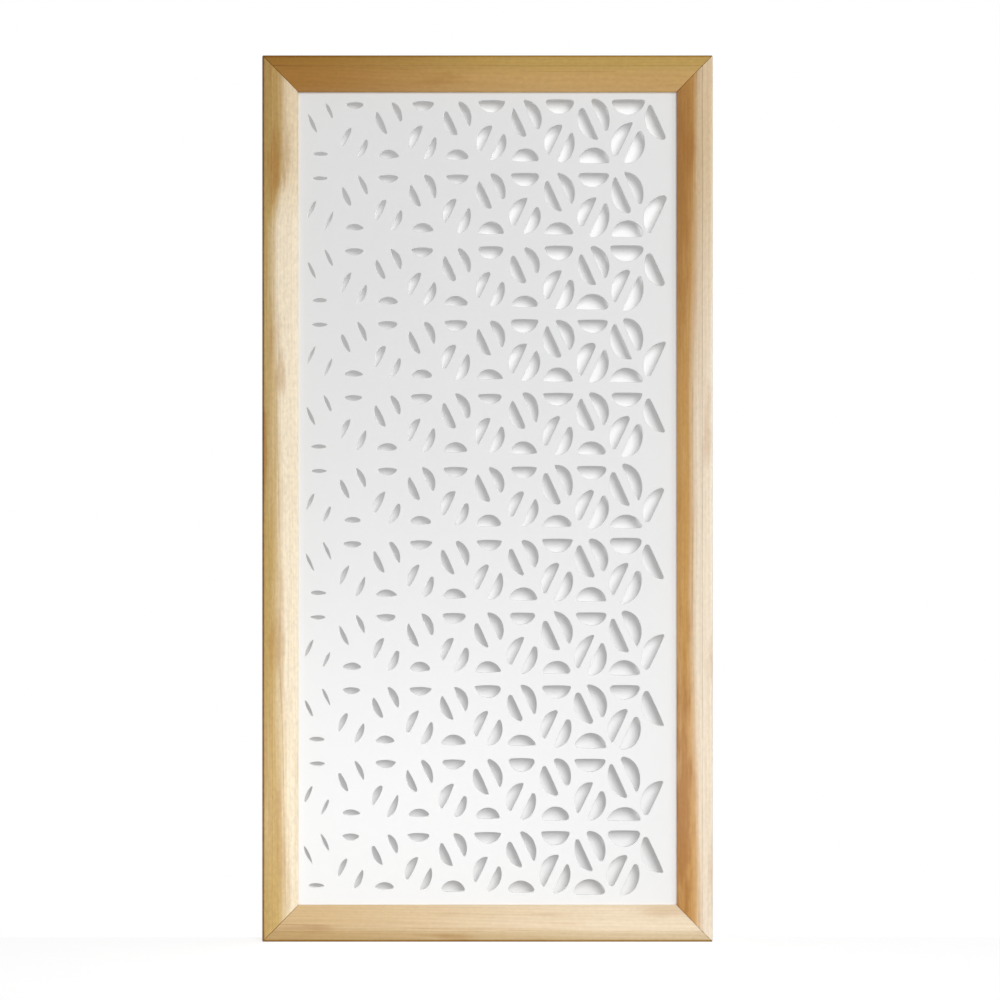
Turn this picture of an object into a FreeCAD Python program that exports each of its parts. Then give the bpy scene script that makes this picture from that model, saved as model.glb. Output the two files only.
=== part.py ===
"""Framed screen panel: a pierced white sheet in a mitred timber moulding, with two D-ring hangers behind it.

Millimetres. X runs to the viewer's right, Y to the back and Z up. The origin lies under the middle of the
bottom edge, half way through the depth.
"""
import FreeCAD, Part
import math
import os
import re

import Sketcher

SIZES = {
    # the whole frame, and the moulding it is made of
    "outer_width": 610,
    "outer_height": 1200,
    "rail_face": 48,
    "rail_depth": 32,
    "arris_radius": 3,
    "band_width": 14.5,
    "quirk_depth": 0.9,
    "ovolo_radius": 73,
    "ovolo_fall": 11.8,
    "sight_ease": 1.6,
    "sight_drop": 1.4,
    "lip_depth": 17,
    "rebate_width": 10,
    # the pierced sheet
    "sheet_thickness": 6,
    "sheet_clearance": 1.5,
    "first_column_margin": 27.3,
    "last_column_margin": 22.7,
    "first_level_margin": 2,
    # the beads behind the sheet, and their brads
    "bead_setback": 0.5,
    "bead_chamfer": 3,
    "brad_radius": 0.7,
    "brad_length": 20,
    "brad_head_radius": 1.3,
    "brad_head_height": 1,
    "brad_end_margin": 70,
    # the V-nails in the mitres
    "nail_leg": 6,
    "nail_gauge": 0.8,
    "nail_depth": 10,
    "outer_nail_place": 12,
    "inner_nail_place": 26,
    # the hangers
    "hanger_drop": 280,
    "strap_width": 12,
    "strap_gauge": 1,
    "strap_end_margin": 8,
    "strap_end_radius": 4,
    "ring_wire_radius": 1.5,
    "ring_play": 0.3,
    "ring_half_width": 11,
    "ring_corner_radius": 4,
    "ring_side": 6,
    "screw_ring_gap": 2,
    "screw_spacing": 11,
    "screw_head_radius": 3.5,
    "screw_head_height": 2,
    "screw_head_round": 0.9,
    "screw_shank_radius": 1.75,
    "screw_length": 16,
    "screw_tip": 4,
    "screw_hole_play": 0.25,
    "recess_half_length": 1.9,
    "recess_half_width": 0.4,
    "recess_depth": 1.1,
    # the bumpers that keep the back off the wall
    "bumper_base_radius": 9,
    "bumper_tip_radius": 8,
    "bumper_height": 6,
    "bumper_end_margin": 75,
    # how far every cut runs past what it cuts
    "overrun": 2,
}

# Counts of what repeats. The last level of half-moons has only a part of its pitch in sight.
COLUMNS = 10
LEVELS = 17
LEVELS_IN_SIGHT = 16.65
# The pattern sits a little askew in the sheet: degrees, clockwise as seen from the front.
PATTERN_TILT = 0.34
BRADS_ACROSS = 4
BRADS_UP = 7

# The half-moons in the first and the last column, and a pair's spread, as shares of the pitch between levels.
# Lengths grow evenly from column to column, and widths faster at first.
LENGTH_SHARES = (0.437, 0.897)
LENGTH_GROWTH = 1
WIDTH_SHARES = (0.085, 0.33)
WIDTH_GROWTH = 0.75
PAIR_SPREAD_SHARE = 0.252
# The share of the width on the belly side of the tips: spindles first, which soon flatten into half-moons.
BELLY_SHARES = (0.42, 0.03)
BELLY_FADE = 3
# How far one half-moon may differ from the next, as shares of its own sizes.
LENGTH_SCATTER_SHARE = 0.12
WIDTH_SCATTER_SHARE = 0.24
SKEW_SCATTER_SHARE = 0.5
SKEW_WIDTH_SHARE = 0.8
SHARP_END_SHARE = 0.07
BLUNT_END_SHARE = 0.27
# The steps and the gain of the repeatable scatter: column, level, side, and which quality is drawn.
SCATTER_STEPS = (1.93, 4.71, 2.39, 0.77)
SCATTER_GAIN = 437.5

# Each side of the frame: its turn about Y from the bottom side, its run, and the middle of its outer edge.
SIDES = {
    "bottom": (0, "outer_width", "0", "0"),
    "right": (-90, "outer_height", "outer_width / 2", "outer_height / 2"),
    "top": (180, "outer_width", "0", "outer_height"),
    "left": (90, "outer_height", "-outer_width / 2", "outer_height / 2"),
}
# Each corner: its turn about Y from the bottom left corner, its place, and the two sides that meet there.
CORNERS = {
    "bottom_left": (0, "-outer_width / 2", "0", ("bottom", "left")),
    "bottom_right": (-90, "outer_width / 2", "0", ("bottom", "right")),
    "top_right": (180, "outer_width / 2", "outer_height", ("top", "right")),
    "top_left": (90, "-outer_width / 2", "outer_height", ("top", "left")),
}
RAIL_NAMES = {"bottom": "bottom_rail", "right": "right_stile", "top": "top_rail", "left": "left_stile"}
HANDS = {"left": -1, "right": 1}

# Places and sizes that several pieces share, in the sheet's own names.
BACK = "(rail_depth - bumper_height) / 2"
BEAD_DEPTH = "(rail_depth - lip_depth - sheet_thickness)"
BEAD_OUTER = "(rail_face - rebate_width)"
BEAD_INNER = "(rail_face - bead_setback)"
BACK_MIDDLE = "(rail_face - rebate_width) / 2"
EYE_RADIUS = "(ring_wire_radius + ring_play + strap_gauge)"
RING_REACH = "(ring_side + ring_half_width + ring_wire_radius)"
UPPER_SCREW = f"({RING_REACH} + screw_ring_gap + screw_head_radius)"
LOWER_SCREW = f"({UPPER_SCREW} + screw_spacing)"
STRAP_LENGTH = f"({LOWER_SCREW} + strap_end_margin)"
HANGER_HEIGHT = "outer_height - hanger_drop"
LEFT_OF_TRAVEL = 1
RIGHT_OF_TRAVEL = -1

Y_AXIS = FreeCAD.Vector(0, 1, 0)
document = FreeCAD.newDocument("screen_panel")
sheet = document.addObject("Spreadsheet::Sheet", "sizes")


def fill_sheet():
    """Write every size into the sheet as a number with an alias."""
    for row, (name, value) in enumerate(SIZES.items(), start=1):
        sheet.set(f"A{row}", name)
        sheet.set(f"B{row}", str(value))
        sheet.setAlias(f"B{row}", name)
    document.recompute()


def cells(text):
    """The expression with each size's name turned into its cell of the sheet."""
    return re.sub(r"[a-z_]+", lambda word: f"sizes.{word[0]}" if word[0] in SIZES else word[0], str(text))


def number(text):
    """What the expression is worth now."""
    return float(sheet.evalExpression(cells(text)))


def bind(thing, **expressions):
    """Bind properties of a document object to expressions on the sheet."""
    for name, text in expressions.items():
        thing.setExpression(name, cells(text))


def place(thing, turn=0, axis=Y_AXIS, x="0", y="0", z="0"):
    """Turn a piece, and bind its place to the sheet."""
    thing.Placement = FreeCAD.Placement(FreeCAD.Vector(), FreeCAD.Rotation(axis, turn))
    for letter, text in (("x", x), ("y", y), ("z", z)):
        thing.setExpression(f"Placement.Base.{letter}", cells(text))


def make(kind, name):
    return document.addObject(kind, name)


def start_sketch(body, plane, name):
    """A new sketch on one of the body's own origin planes."""
    planes = {feature.Role: feature for feature in body.Origin.OriginFeatures}
    sketch = body.newObject("Sketcher::SketchObject", name)
    sketch.AttachmentSupport = (planes[plane], [""])
    sketch.MapMode = "FlatFace"
    return sketch


def dimension(sketch, kind, *members, text):
    """Add one dimension whose value follows an expression."""
    index = sketch.addConstraint(Sketcher.Constraint(kind, *members, number(text)))
    sketch.setExpression(f"Constraints[{index}]", cells(text))


def pin(sketch, curve, end, x, y):
    """Hold one point of a curve at a place measured from the sketch's origin."""
    dimension(sketch, "DistanceX", -1, 1, curve, end, text=x)
    dimension(sketch, "DistanceY", -1, 1, curve, end, text=y)


def draw_edge(sketch, begin, finish, arc):
    """Draw a line, or an arc given as (radius, side it bulges to), and say which of its ends comes first.

    A sketch keeps its arcs counter-clockwise, so one that bulges to the left is drawn from its far end.
    """
    if not arc:
        return sketch.addGeometry(Part.LineSegment(begin, finish), False), (1, 2)
    radius, side = number(arc[0]), arc[1]
    chord = finish - begin
    half_chord = chord.Length / 2
    sagitta = radius - math.sqrt(radius ** 2 - half_chord ** 2)
    across = FreeCAD.Vector(-chord.y, chord.x, 0).normalize()
    middle = (begin + finish) / 2 + across * (side * sagitta)
    if side == LEFT_OF_TRAVEL:
        return sketch.addGeometry(Part.Arc(finish, middle, begin), False), (2, 1)
    return sketch.addGeometry(Part.Arc(begin, middle, finish), False), (1, 2)


def draw_outline(sketch, corners):
    """Draw a closed outline. A corner is (x, y), or (x, y, radius, side) where an arc leaves it."""
    points = [FreeCAD.Vector(number(corner[0]), number(corner[1]), 0) for corner in corners]
    edges = []
    for index, corner in enumerate(corners):
        following = points[(index + 1) % len(points)]
        edges.append(draw_edge(sketch, points[index], following, corner[2:]))
    for index, (curve, ends) in enumerate(edges):
        next_curve, next_ends = edges[(index + 1) % len(edges)]
        sketch.addConstraint(Sketcher.Constraint("Coincident", curve, ends[1], next_curve, next_ends[0]))
    for (curve, ends), corner in zip(edges, corners):
        pin(sketch, curve, ends[0], corner[0], corner[1])
        if corner[2:]:
            dimension(sketch, "Radius", curve, text=corner[2])


def draw_circle(sketch, x, y, radius):
    centre = FreeCAD.Vector(number(x), number(y), 0)
    curve = sketch.addGeometry(Part.Circle(centre, FreeCAD.Vector(0, 0, 1), number(radius)), False)
    pin(sketch, curve, 3, x, y)
    dimension(sketch, "Radius", curve, text=radius)


def pad(body, sketch, length, symmetric=False):
    feature = body.newObject("PartDesign::Pad", f"{body.Name}_pad")
    feature.Profile = sketch
    feature.SideType = "Symmetric" if symmetric else "One side"
    bind(feature, Length=length)


def cut_through(body, sketch):
    """Cut a sketch right through its body, both ways from the sketch's plane."""
    feature = body.newObject("PartDesign::Pocket", f"{sketch.Name}_cut")
    feature.Profile = sketch
    feature.Type = "ThroughAll"
    feature.SideType = "Symmetric"


def group(name, members):
    compound = make("Part::Compound", name)
    compound.Links = members
    return compound


def drill(name, blank, fasteners):
    """The finished piece: its blank less the fasteners that are driven into it."""
    piece = make("Part::Cut", name)
    piece.Base = blank
    piece.Tool = group(f"{name}_fasteners", fasteners)
    return piece


def mitred_bar(name, profile, side):
    """A length of moulding, drawn as the bottom side with its outer edge at z = 0, then turned into place."""
    turn, run, x, z = SIDES[side]
    body = make("PartDesign::Body", f"{name}_blank")
    section = start_sketch(body, "YZ_Plane", f"{name}_section")
    draw_outline(section, profile)
    pad(body, section, run, symmetric=True)
    mitres = start_sketch(body, "XZ_Plane", f"{name}_mitres")
    for sign in ("", "-"):
        end = f"{sign}({run} / 2 + overrun)"
        heel = f"{sign}({run} / 2 - rail_face - overrun)"
        draw_outline(mitres, [(end, "-overrun"), (heel, "rail_face + overrun"), (end, "rail_face + overrun")])
    cut_through(body, mitres)
    place(body, turn, x=x, y=BACK, z=z)
    return body


def rail_profile():
    """The moulding's section: y from its back face (the front is negative), z from its outer edge."""
    front = "-rail_depth"
    sight = "rail_face - sight_ease"
    slope_end = "-rail_depth + ovolo_fall"
    lip_back = "-rail_depth + lip_depth"
    return [
        ("0", "0"),
        (f"{front} + arris_radius", "0", "arris_radius", LEFT_OF_TRAVEL),
        (front, "arris_radius"),
        (front, "band_width"),
        (f"{front} + quirk_depth", "band_width", "ovolo_radius", LEFT_OF_TRAVEL),
        (slope_end, sight),
        (f"{slope_end} + sight_drop", "rail_face"),
        (lip_back, "rail_face"),
        (lip_back, BEAD_OUTER),
        ("0", BEAD_OUTER),
    ]


def bead_profile():
    """A square bead that fills the rebate behind the sheet, with its inner back edge chamfered."""
    return [
        ("0", BEAD_OUTER),
        (f"-{BEAD_DEPTH}", BEAD_OUTER),
        (f"-{BEAD_DEPTH}", BEAD_INNER),
        ("-bead_chamfer", BEAD_INNER),
        ("0", f"{BEAD_INNER} - bead_chamfer"),
    ]


def side_brads(side):
    """The brads of one side, driven through the bead's inner face into the rail."""
    turn, run, x, z = SIDES[side]
    count = BRADS_ACROSS if run == "outer_width" else BRADS_UP
    brads = []
    for index in range(count):
        along = f"({run} / 2 - brad_end_margin) * {2 * index - count + 1} / {count - 1}"
        name = f"{side}_brad_{index + 1}"
        across = f"-({BEAD_DEPTH} + bead_chamfer) / 2"
        shank = make("Part::Cylinder", f"{name}_shank")
        bind(shank, Radius="brad_radius", Height="brad_length")
        place(shank, x=along, y=across, z=f"{BEAD_INNER} - brad_length")
        head = make("Part::Cone", f"{name}_head")
        bind(head, Radius1="brad_radius", Radius2="brad_head_radius", Height="brad_head_height")
        place(head, x=along, y=across, z=f"{BEAD_INNER} - brad_head_height")
        brad = make("Part::Fuse", name)
        brad.Base = shank
        brad.Tool = head
        brads.append(brad)
    row = group(f"{side}_brads", brads)
    place(row, turn, x=x, y=BACK, z=z)
    return row


def v_nail(name, corner, distance):
    """One V-nail pressed flush into the back of a mitre, with a leg in each of the two sides."""
    turn, x, z, _ = CORNERS[corner]
    body = make("PartDesign::Body", name)
    plan = start_sketch(body, "XZ_Plane", f"{name}_plan")
    inner = f"{distance} + nail_gauge"
    tip = f"{distance} + nail_leg"
    draw_outline(plan, [
        (distance, distance), (tip, distance), (tip, inner), (inner, inner), (inner, tip), (distance, tip),
    ])
    pad(body, plan, "nail_depth")
    place(body, turn, x=x, y=BACK, z=z)
    return body


def corner_v_nails(corner):
    nails = [
        v_nail(f"{corner}_outer_v_nail", corner, "outer_nail_place"),
        v_nail(f"{corner}_inner_v_nail", corner, "inner_nail_place"),
    ]
    return group(f"{corner}_v_nails", nails)


def stile_middle(hand):
    """The x of the middle of a stile's back face."""
    return f"{HANDS[hand]} * (outer_width / 2 - {BACK_MIDDLE})"


def hanger_strap(hand):
    """A flat strap whose top is rolled into an eye for the ring, with two screw holes."""
    name = f"{hand}_hanger_strap"
    body = make("PartDesign::Body", name)
    side_view = start_sketch(body, "YZ_Plane", f"{name}_side")
    meeting = f"-sqrt({EYE_RADIUS} ^ 2 - ({EYE_RADIUS} - strap_gauge) ^ 2)"
    roll = (EYE_RADIUS, LEFT_OF_TRAVEL)
    draw_outline(side_view, [
        ("0", f"-{STRAP_LENGTH}"),
        ("0", "0", *roll),
        (EYE_RADIUS, EYE_RADIUS, *roll),
        (f"2 * {EYE_RADIUS}", "0", *roll),
        (EYE_RADIUS, f"-{EYE_RADIUS}", *roll),
        ("strap_gauge", meeting),
        ("strap_gauge", f"-{STRAP_LENGTH}"),
    ])
    draw_circle(side_view, EYE_RADIUS, "0", "ring_wire_radius + ring_play")
    pad(body, side_view, "strap_width", symmetric=True)
    holes = start_sketch(body, "XZ_Plane", f"{name}_holes")
    for drop in (UPPER_SCREW, LOWER_SCREW):
        draw_circle(holes, "0", f"-{drop}", "screw_shank_radius + screw_hole_play")
    cut_through(body, holes)
    document.recompute()
    corners = []
    for index, edge in enumerate(body.Shape.Edges, start=1):
        at_end = all(vertex.Z < -number(LOWER_SCREW) for vertex in edge.Vertexes)
        if at_end and abs(edge.tangentAt(edge.FirstParameter).dot(Y_AXIS)) > 1 / 2:
            corners.append(f"Edge{index}")
    drilled = body.Tip
    rounding = body.newObject("PartDesign::Fillet", f"{name}_rounding")
    rounding.Base = (drilled, corners)
    bind(rounding, Radius="strap_end_radius")
    place(body, x=stile_middle(hand), y=BACK, z=HANGER_HEIGHT)
    return body


def hanger_ring(hand):
    """A bent wire D whose straight bar runs through the strap's eye. It is drawn upright, then hung down."""
    name = f"{hand}_hanger_ring"
    body = make("PartDesign::Body", name)
    route = start_sketch(body, "XZ_Plane", f"{name}_route")
    flat_end = "(ring_half_width - ring_corner_radius)"
    corner = ("ring_corner_radius", RIGHT_OF_TRAVEL)
    bow = ("ring_half_width", RIGHT_OF_TRAVEL)
    draw_outline(route, [
        (f"-{flat_end}", "0"),
        (flat_end, "0", *corner),
        ("ring_half_width", "ring_corner_radius"),
        ("ring_half_width", "ring_side", *bow),
        ("0", "ring_side + ring_half_width", *bow),
        ("-ring_half_width", "ring_side"),
        ("-ring_half_width", "ring_corner_radius", *corner),
    ])
    section = start_sketch(body, "YZ_Plane", f"{name}_section")
    draw_circle(section, "0", "0", "ring_wire_radius")
    document.recompute()
    wire = body.newObject("PartDesign::AdditivePipe", f"{name}_wire")
    wire.Profile = section
    wire.Spine = (route, [f"Edge{index}" for index in range(1, len(route.Shape.Edges) + 1)])
    place(body, 180, x=stile_middle(hand), y=f"{BACK} + {EYE_RADIUS}", z=HANGER_HEIGHT)
    return body


def hanger_screw(name, hand, drop):
    """A pan-head screw with a cross recess. Its seat is the strap's face, and it points into the stile."""
    body = make("PartDesign::Body", name)
    half = start_sketch(body, "XY_Plane", f"{name}_half")
    draw_outline(half, [
        ("0", "screw_head_height"),
        ("screw_head_radius - screw_head_round", "screw_head_height", "screw_head_round", LEFT_OF_TRAVEL),
        ("screw_head_radius", "screw_head_height - screw_head_round"),
        ("screw_head_radius", "0"),
        ("screw_shank_radius", "0"),
        ("screw_shank_radius", "screw_tip - screw_length"),
        ("0", "-screw_length"),
    ])
    turned = body.newObject("PartDesign::Revolution", f"{name}_turned")
    turned.Profile = half
    turned.ReferenceAxis = (half, ["V_Axis"])
    document.recompute()
    solid_volume = body.Shape.Volume
    cross = start_sketch(body, "XZ_Plane", f"{name}_cross")
    cross.setExpression("AttachmentOffset.Base.z", cells("-screw_head_height"))
    arm, waist = "recess_half_length", "recess_half_width"
    draw_outline(cross, [
        (arm, waist), (waist, waist), (waist, arm), (f"-{waist}", arm), (f"-{waist}", waist),
        (f"-{arm}", waist), (f"-{arm}", f"-{waist}"), (f"-{waist}", f"-{waist}"), (f"-{waist}", f"-{arm}"),
        (waist, f"-{arm}"), (waist, f"-{waist}"), (arm, f"-{waist}"),
    ])
    recess = body.newObject("PartDesign::Pocket", f"{name}_recess")
    recess.Profile = cross
    recess.Reversed = True
    bind(recess, Length="recess_depth")
    document.recompute()
    if body.Shape.Volume >= solid_volume:
        raise RuntimeError(f"{name}: the recess cuts nothing")
    place(body, x=stile_middle(hand), y=f"{BACK} + strap_gauge", z=f"{HANGER_HEIGHT} - {drop}")
    return body


def hanger_screws(hand):
    screws = [
        hanger_screw(f"{hand}_upper_screw", hand, UPPER_SCREW),
        hanger_screw(f"{hand}_lower_screw", hand, LOWER_SCREW),
    ]
    return group(f"{hand}_hanger_screws", screws)


def bumper(corner):
    """A soft pad on the back of the stile, near the corner."""
    bottom_or_top, hand = corner.split("_")
    pad_piece = make("Part::Cone", f"{corner}_bumper")
    bind(pad_piece, Radius1="bumper_base_radius", Radius2="bumper_tip_radius", Height="bumper_height")
    height = "bumper_end_margin" if bottom_or_top == "bottom" else "outer_height - bumper_end_margin"
    place(pad_piece, -90, FreeCAD.Vector(1, 0, 0), x=stile_middle(hand), y=BACK, z=height)
    return pad_piece


def scatter(column, level, side, quality):
    """A repeatable number from 0 to 1 for one quality of one half-moon."""
    phase = sum(step * value for step, value in zip(SCATTER_STEPS, (column, level, side, quality)))
    return SCATTER_GAIN * math.sin(phase) % 1


def half_moon(middle, along, half_length, crown, belly, apex, end_radii):
    """A closed wire: a crown of two arcs that meet at the apex, a belly of two flatter ones, two round ends.

    The line between the tips runs through the middle along the unit vector. The crown rises to its left.
    """
    outward = FreeCAD.Vector(-along.z, 0, along.x)

    def point(run, rise):
        return middle + along * run + outward * rise

    def arc(begin, finish, centre, radius):
        towards = (begin - centre).normalize() + (finish - centre).normalize()
        return Part.Arc(begin, centre + towards.normalize() * radius, finish).toShape()

    summit, base = point(apex, crown), point(apex, -belly)
    halves = []
    for sign, end_radius in zip((-1, 1), end_radii):
        reach = half_length - sign * apex
        crown_radius = (reach ** 2 + crown ** 2) / (2 * crown)
        belly_radius = (reach ** 2 + belly ** 2) / (2 * belly)
        crown_rise, belly_rise = crown - crown_radius, belly_radius - belly
        crown_span, belly_span = crown_radius - end_radius, belly_radius - end_radius
        squares = crown_span ** 2 - belly_span ** 2 + belly_rise ** 2 - crown_rise ** 2
        end_rise = squares / (2 * (belly_rise - crown_rise))
        end_run = math.sqrt(crown_span ** 2 - (end_rise - crown_rise) ** 2)
        end_centre = point(apex + sign * end_run, end_rise)
        crown_centre, belly_centre = point(apex, crown_rise), point(apex, belly_rise)
        crown_meeting = crown_centre + (end_centre - crown_centre).normalize() * crown_radius
        belly_meeting = belly_centre + (end_centre - belly_centre).normalize() * belly_radius
        halves.append((arc(base, belly_meeting, belly_centre, belly_radius),
                       arc(belly_meeting, crown_meeting, end_centre, end_radius),
                       arc(crown_meeting, summit, crown_centre, crown_radius)))
    left, right = halves
    return Part.Wire([*right, *reversed(left)])


def pair_lean(column, level):
    """Which way the strip of a pair leans: 0 lies flat, 1 rises to the right, -1 falls to the right."""
    return (level + column % 2) % 3 - 1


def pair_sides(column, level):
    """The sides of a pair that are cut: both, or the one that the edge of the pattern leaves."""
    lean = pair_lean(column, level)
    if column == COLUMNS:
        return (1,) if lean else ()
    if lean == 0 and column % 2 == 1 and level == 0:
        return (-1,)
    if lean == 0 and column % 2 == 0 and level == LEVELS - 1:
        return (1,)
    return (-1, 1)


def moons(front_y):
    """The half-moons of the sheet: pairs on a triangular lattice that is squeezed to fit the frame's opening.

    They grow from the first column to the last, and no two are quite alike.
    """
    wires = []
    first_x = number("-(outer_width / 2 - rail_face) + first_column_margin")
    last_x = number("outer_width / 2 - rail_face - last_column_margin")
    first_level_z = number("outer_height - rail_face - first_level_margin")
    middle = FreeCAD.Vector(0, front_y, number("outer_height / 2"))
    column_pitch = (last_x - first_x) / COLUMNS
    level_pitch = number("outer_height - 2 * rail_face") / LEVELS_IN_SIGHT
    for column in range(COLUMNS + 1):
        drop = 1 / 2 if column % 2 == 0 else 0
        for level in range(LEVELS):
            strip = FreeCAD.Vector(first_x + column * column_pitch, front_y,
                                   first_level_z - (level + drop) * level_pitch)
            for side in pair_sides(column, level):
                wire = lattice_moon(column, level, side, strip, column_pitch, level_pitch)
                wire.rotate(middle, Y_AXIS, PATTERN_TILT)
                wires.append(wire)
    return wires


def lattice_moon(column, level, side, strip, column_pitch, level_pitch):
    """One half-moon on its side of a strip: 1 is above a flat strip, or to the left of a leaning one."""
    steep = math.sqrt(3) / 2
    squeeze = column_pitch / level_pitch / steep
    lean = pair_lean(column, level)
    run = FreeCAD.Vector(squeeze * (1 / 2 if lean else 1), 0, lean * steep)
    rise = FreeCAD.Vector(-squeeze * steep * lean, 0, 1 / 2 if lean else 1)
    if lean < 0:
        run, rise = run * -1, rise * -1
    run, rise = run * side, rise * side

    def vary(share, quality):
        return 1 + share * (scatter(column, level, side, quality) - 1 / 2)

    def grown(shares, growth):
        return level_pitch * (shares[0] + (shares[1] - shares[0]) * (column / COLUMNS) ** growth)

    length = grown(LENGTH_SHARES, LENGTH_GROWTH) * vary(LENGTH_SCATTER_SHARE, 1)
    width = grown(WIDTH_SHARES, WIDTH_GROWTH) * vary(WIDTH_SCATTER_SHARE, 2)
    along = FreeCAD.Vector(run).normalize()
    outward = FreeCAD.Vector(-along.z, 0, along.x)
    true_width = width * rise.dot(outward)
    fade = (1 - column / COLUMNS) ** BELLY_FADE
    belly_share = BELLY_SHARES[1] + (BELLY_SHARES[0] - BELLY_SHARES[1]) * fade
    crown_share = 1 - belly_share
    half_length = length / 2 * run.Length
    slack = half_length - SKEW_WIDTH_SHARE * true_width
    apex = crown_share * width * rise.dot(along) + SKEW_SCATTER_SHARE * slack * (vary(1, 3) - 1)
    end_span = BLUNT_END_SHARE - SHARP_END_SHARE
    end_radii = [true_width * (SHARP_END_SHARE + end_span * scatter(column, level, side, quality))
                 for quality in (4, 5)]
    middle = strip + rise * (level_pitch * PAIR_SPREAD_SHARE + (belly_share - crown_share) * width / 2)
    crown, belly = crown_share * true_width, belly_share * true_width
    return half_moon(middle, along, half_length, crown, belly, apex, end_radii)


def pierced_panel():
    """The white sheet: one face with every half-moon as a hole, given its thickness."""
    half_width = number("outer_width / 2 - rail_face + rebate_width - sheet_clearance")
    foot = number("rail_face - rebate_width + sheet_clearance")
    head = number("outer_height") - foot
    front_y = number(f"{BACK} - rail_depth + lip_depth")
    corners = [(-half_width, foot), (half_width, foot), (half_width, head), (-half_width, head)]
    points = [FreeCAD.Vector(x, front_y, z) for x, z in corners]
    edge = Part.makePolygon(points + points[:1])
    holes = moons(front_y)
    for hole in holes:
        hole.reverse()
    face = Part.Face(edge)
    face.cutHoles(holes)
    panel = make("Part::Feature", "pierced_panel")
    panel.Shape = face.extrude(Y_AXIS * number("sheet_thickness"))
    print("half-moons", len(holes), "solid share of the sheet", face.Area / Part.Face(edge).Area)
    return panel


def build():
    """Make every piece, and give the list of sub-parts."""
    brads = {side: side_brads(side) for side in SIDES}
    nails = {corner: corner_v_nails(corner) for corner in CORNERS}
    screws = {hand: hanger_screws(hand) for hand in HANDS}
    pieces = [pierced_panel(), group("bead_brads", list(brads.values())), *nails.values(), *screws.values()]
    for side in SIDES:
        entering = [brads[side]] + [nails[corner] for corner in CORNERS if side in CORNERS[corner][3]]
        if side in HANDS:
            entering.append(screws[side])
        rail_blank = mitred_bar(RAIL_NAMES[side], rail_profile(), side)
        bead_blank = mitred_bar(f"{side}_bead", bead_profile(), side)
        pieces.append(drill(RAIL_NAMES[side], rail_blank, entering))
        pieces.append(drill(f"{side}_bead", bead_blank, [brads[side]]))
    for hand in HANDS:
        pieces.append(hanger_strap(hand))
        pieces.append(hanger_ring(hand))
    pieces.extend(bumper(corner) for corner in CORNERS)
    return pieces


def check(pieces):
    """Stop if any object failed, or any sub-part is empty or not valid."""
    document.recompute()
    for thing in document.Objects:
        if {"Invalid", "Error"} & set(thing.State):
            raise RuntimeError(f"{thing.Name} failed: {thing.State}")
    for piece in pieces:
        if piece.Shape.isNull() or not piece.Shape.isValid() or not piece.Shape.Solids:
            raise RuntimeError(f"{piece.Label} is not a good solid")


def export(pieces):
    os.makedirs("parts", exist_ok=True)
    for piece in pieces:
        piece.Shape.exportStep(f"parts/{piece.Label}.step")
        print(piece.Label, "solids", len(piece.Shape.Solids), "volume", round(piece.Shape.Volume, 2))


fill_sheet()
PIECES = build()
check(PIECES)
export(PIECES)
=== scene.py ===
# %% [markdown]
# This lesson dresses a framed screen panel. A white sheet, pierced with half-moon openings, sits in a
# mitred timber moulding. Beads and brads hold the sheet from behind, and two D-rings hang the panel.
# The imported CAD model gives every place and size, so it is loaded first and nothing is fitted by eye.

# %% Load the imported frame
import math

import bmesh
import bpy
from mathutils import Matrix, Vector


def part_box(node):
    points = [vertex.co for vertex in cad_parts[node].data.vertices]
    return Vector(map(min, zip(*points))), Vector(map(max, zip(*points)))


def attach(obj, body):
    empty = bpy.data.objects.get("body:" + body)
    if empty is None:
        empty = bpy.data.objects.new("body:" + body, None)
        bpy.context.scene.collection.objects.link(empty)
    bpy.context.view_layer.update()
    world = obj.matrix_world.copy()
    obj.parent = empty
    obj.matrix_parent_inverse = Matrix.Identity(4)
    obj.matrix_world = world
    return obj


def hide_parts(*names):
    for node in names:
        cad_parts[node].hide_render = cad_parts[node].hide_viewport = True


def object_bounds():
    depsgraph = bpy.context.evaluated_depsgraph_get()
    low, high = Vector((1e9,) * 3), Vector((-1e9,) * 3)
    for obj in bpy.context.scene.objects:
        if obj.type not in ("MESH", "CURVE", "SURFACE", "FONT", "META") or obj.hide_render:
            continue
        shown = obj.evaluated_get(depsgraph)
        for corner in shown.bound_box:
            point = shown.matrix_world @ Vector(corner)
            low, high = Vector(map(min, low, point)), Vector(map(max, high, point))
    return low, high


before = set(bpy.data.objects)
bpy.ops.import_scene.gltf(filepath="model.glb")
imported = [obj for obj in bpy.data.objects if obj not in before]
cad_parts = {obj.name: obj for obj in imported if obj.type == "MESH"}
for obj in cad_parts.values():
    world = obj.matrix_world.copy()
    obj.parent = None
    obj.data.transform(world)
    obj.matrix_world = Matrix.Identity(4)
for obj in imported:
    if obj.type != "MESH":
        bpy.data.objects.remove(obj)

scene = bpy.context.scene
cad_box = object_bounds()
LEFT, FRONT, FOOT = cad_box[0]
RIGHT, REAR, HEAD = cad_box[1]
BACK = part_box("top_rail")[1].y
print("panel", [round(value, 4) for value in cad_box[1] - cad_box[0]], "timber back at", round(BACK, 4))

# %% [markdown]
# The photograph looks straight at the panel. A long lens from far away keeps the frame's edges parallel.
# The lens follows from the distance and from how much of the front plane the picture takes in.

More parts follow.
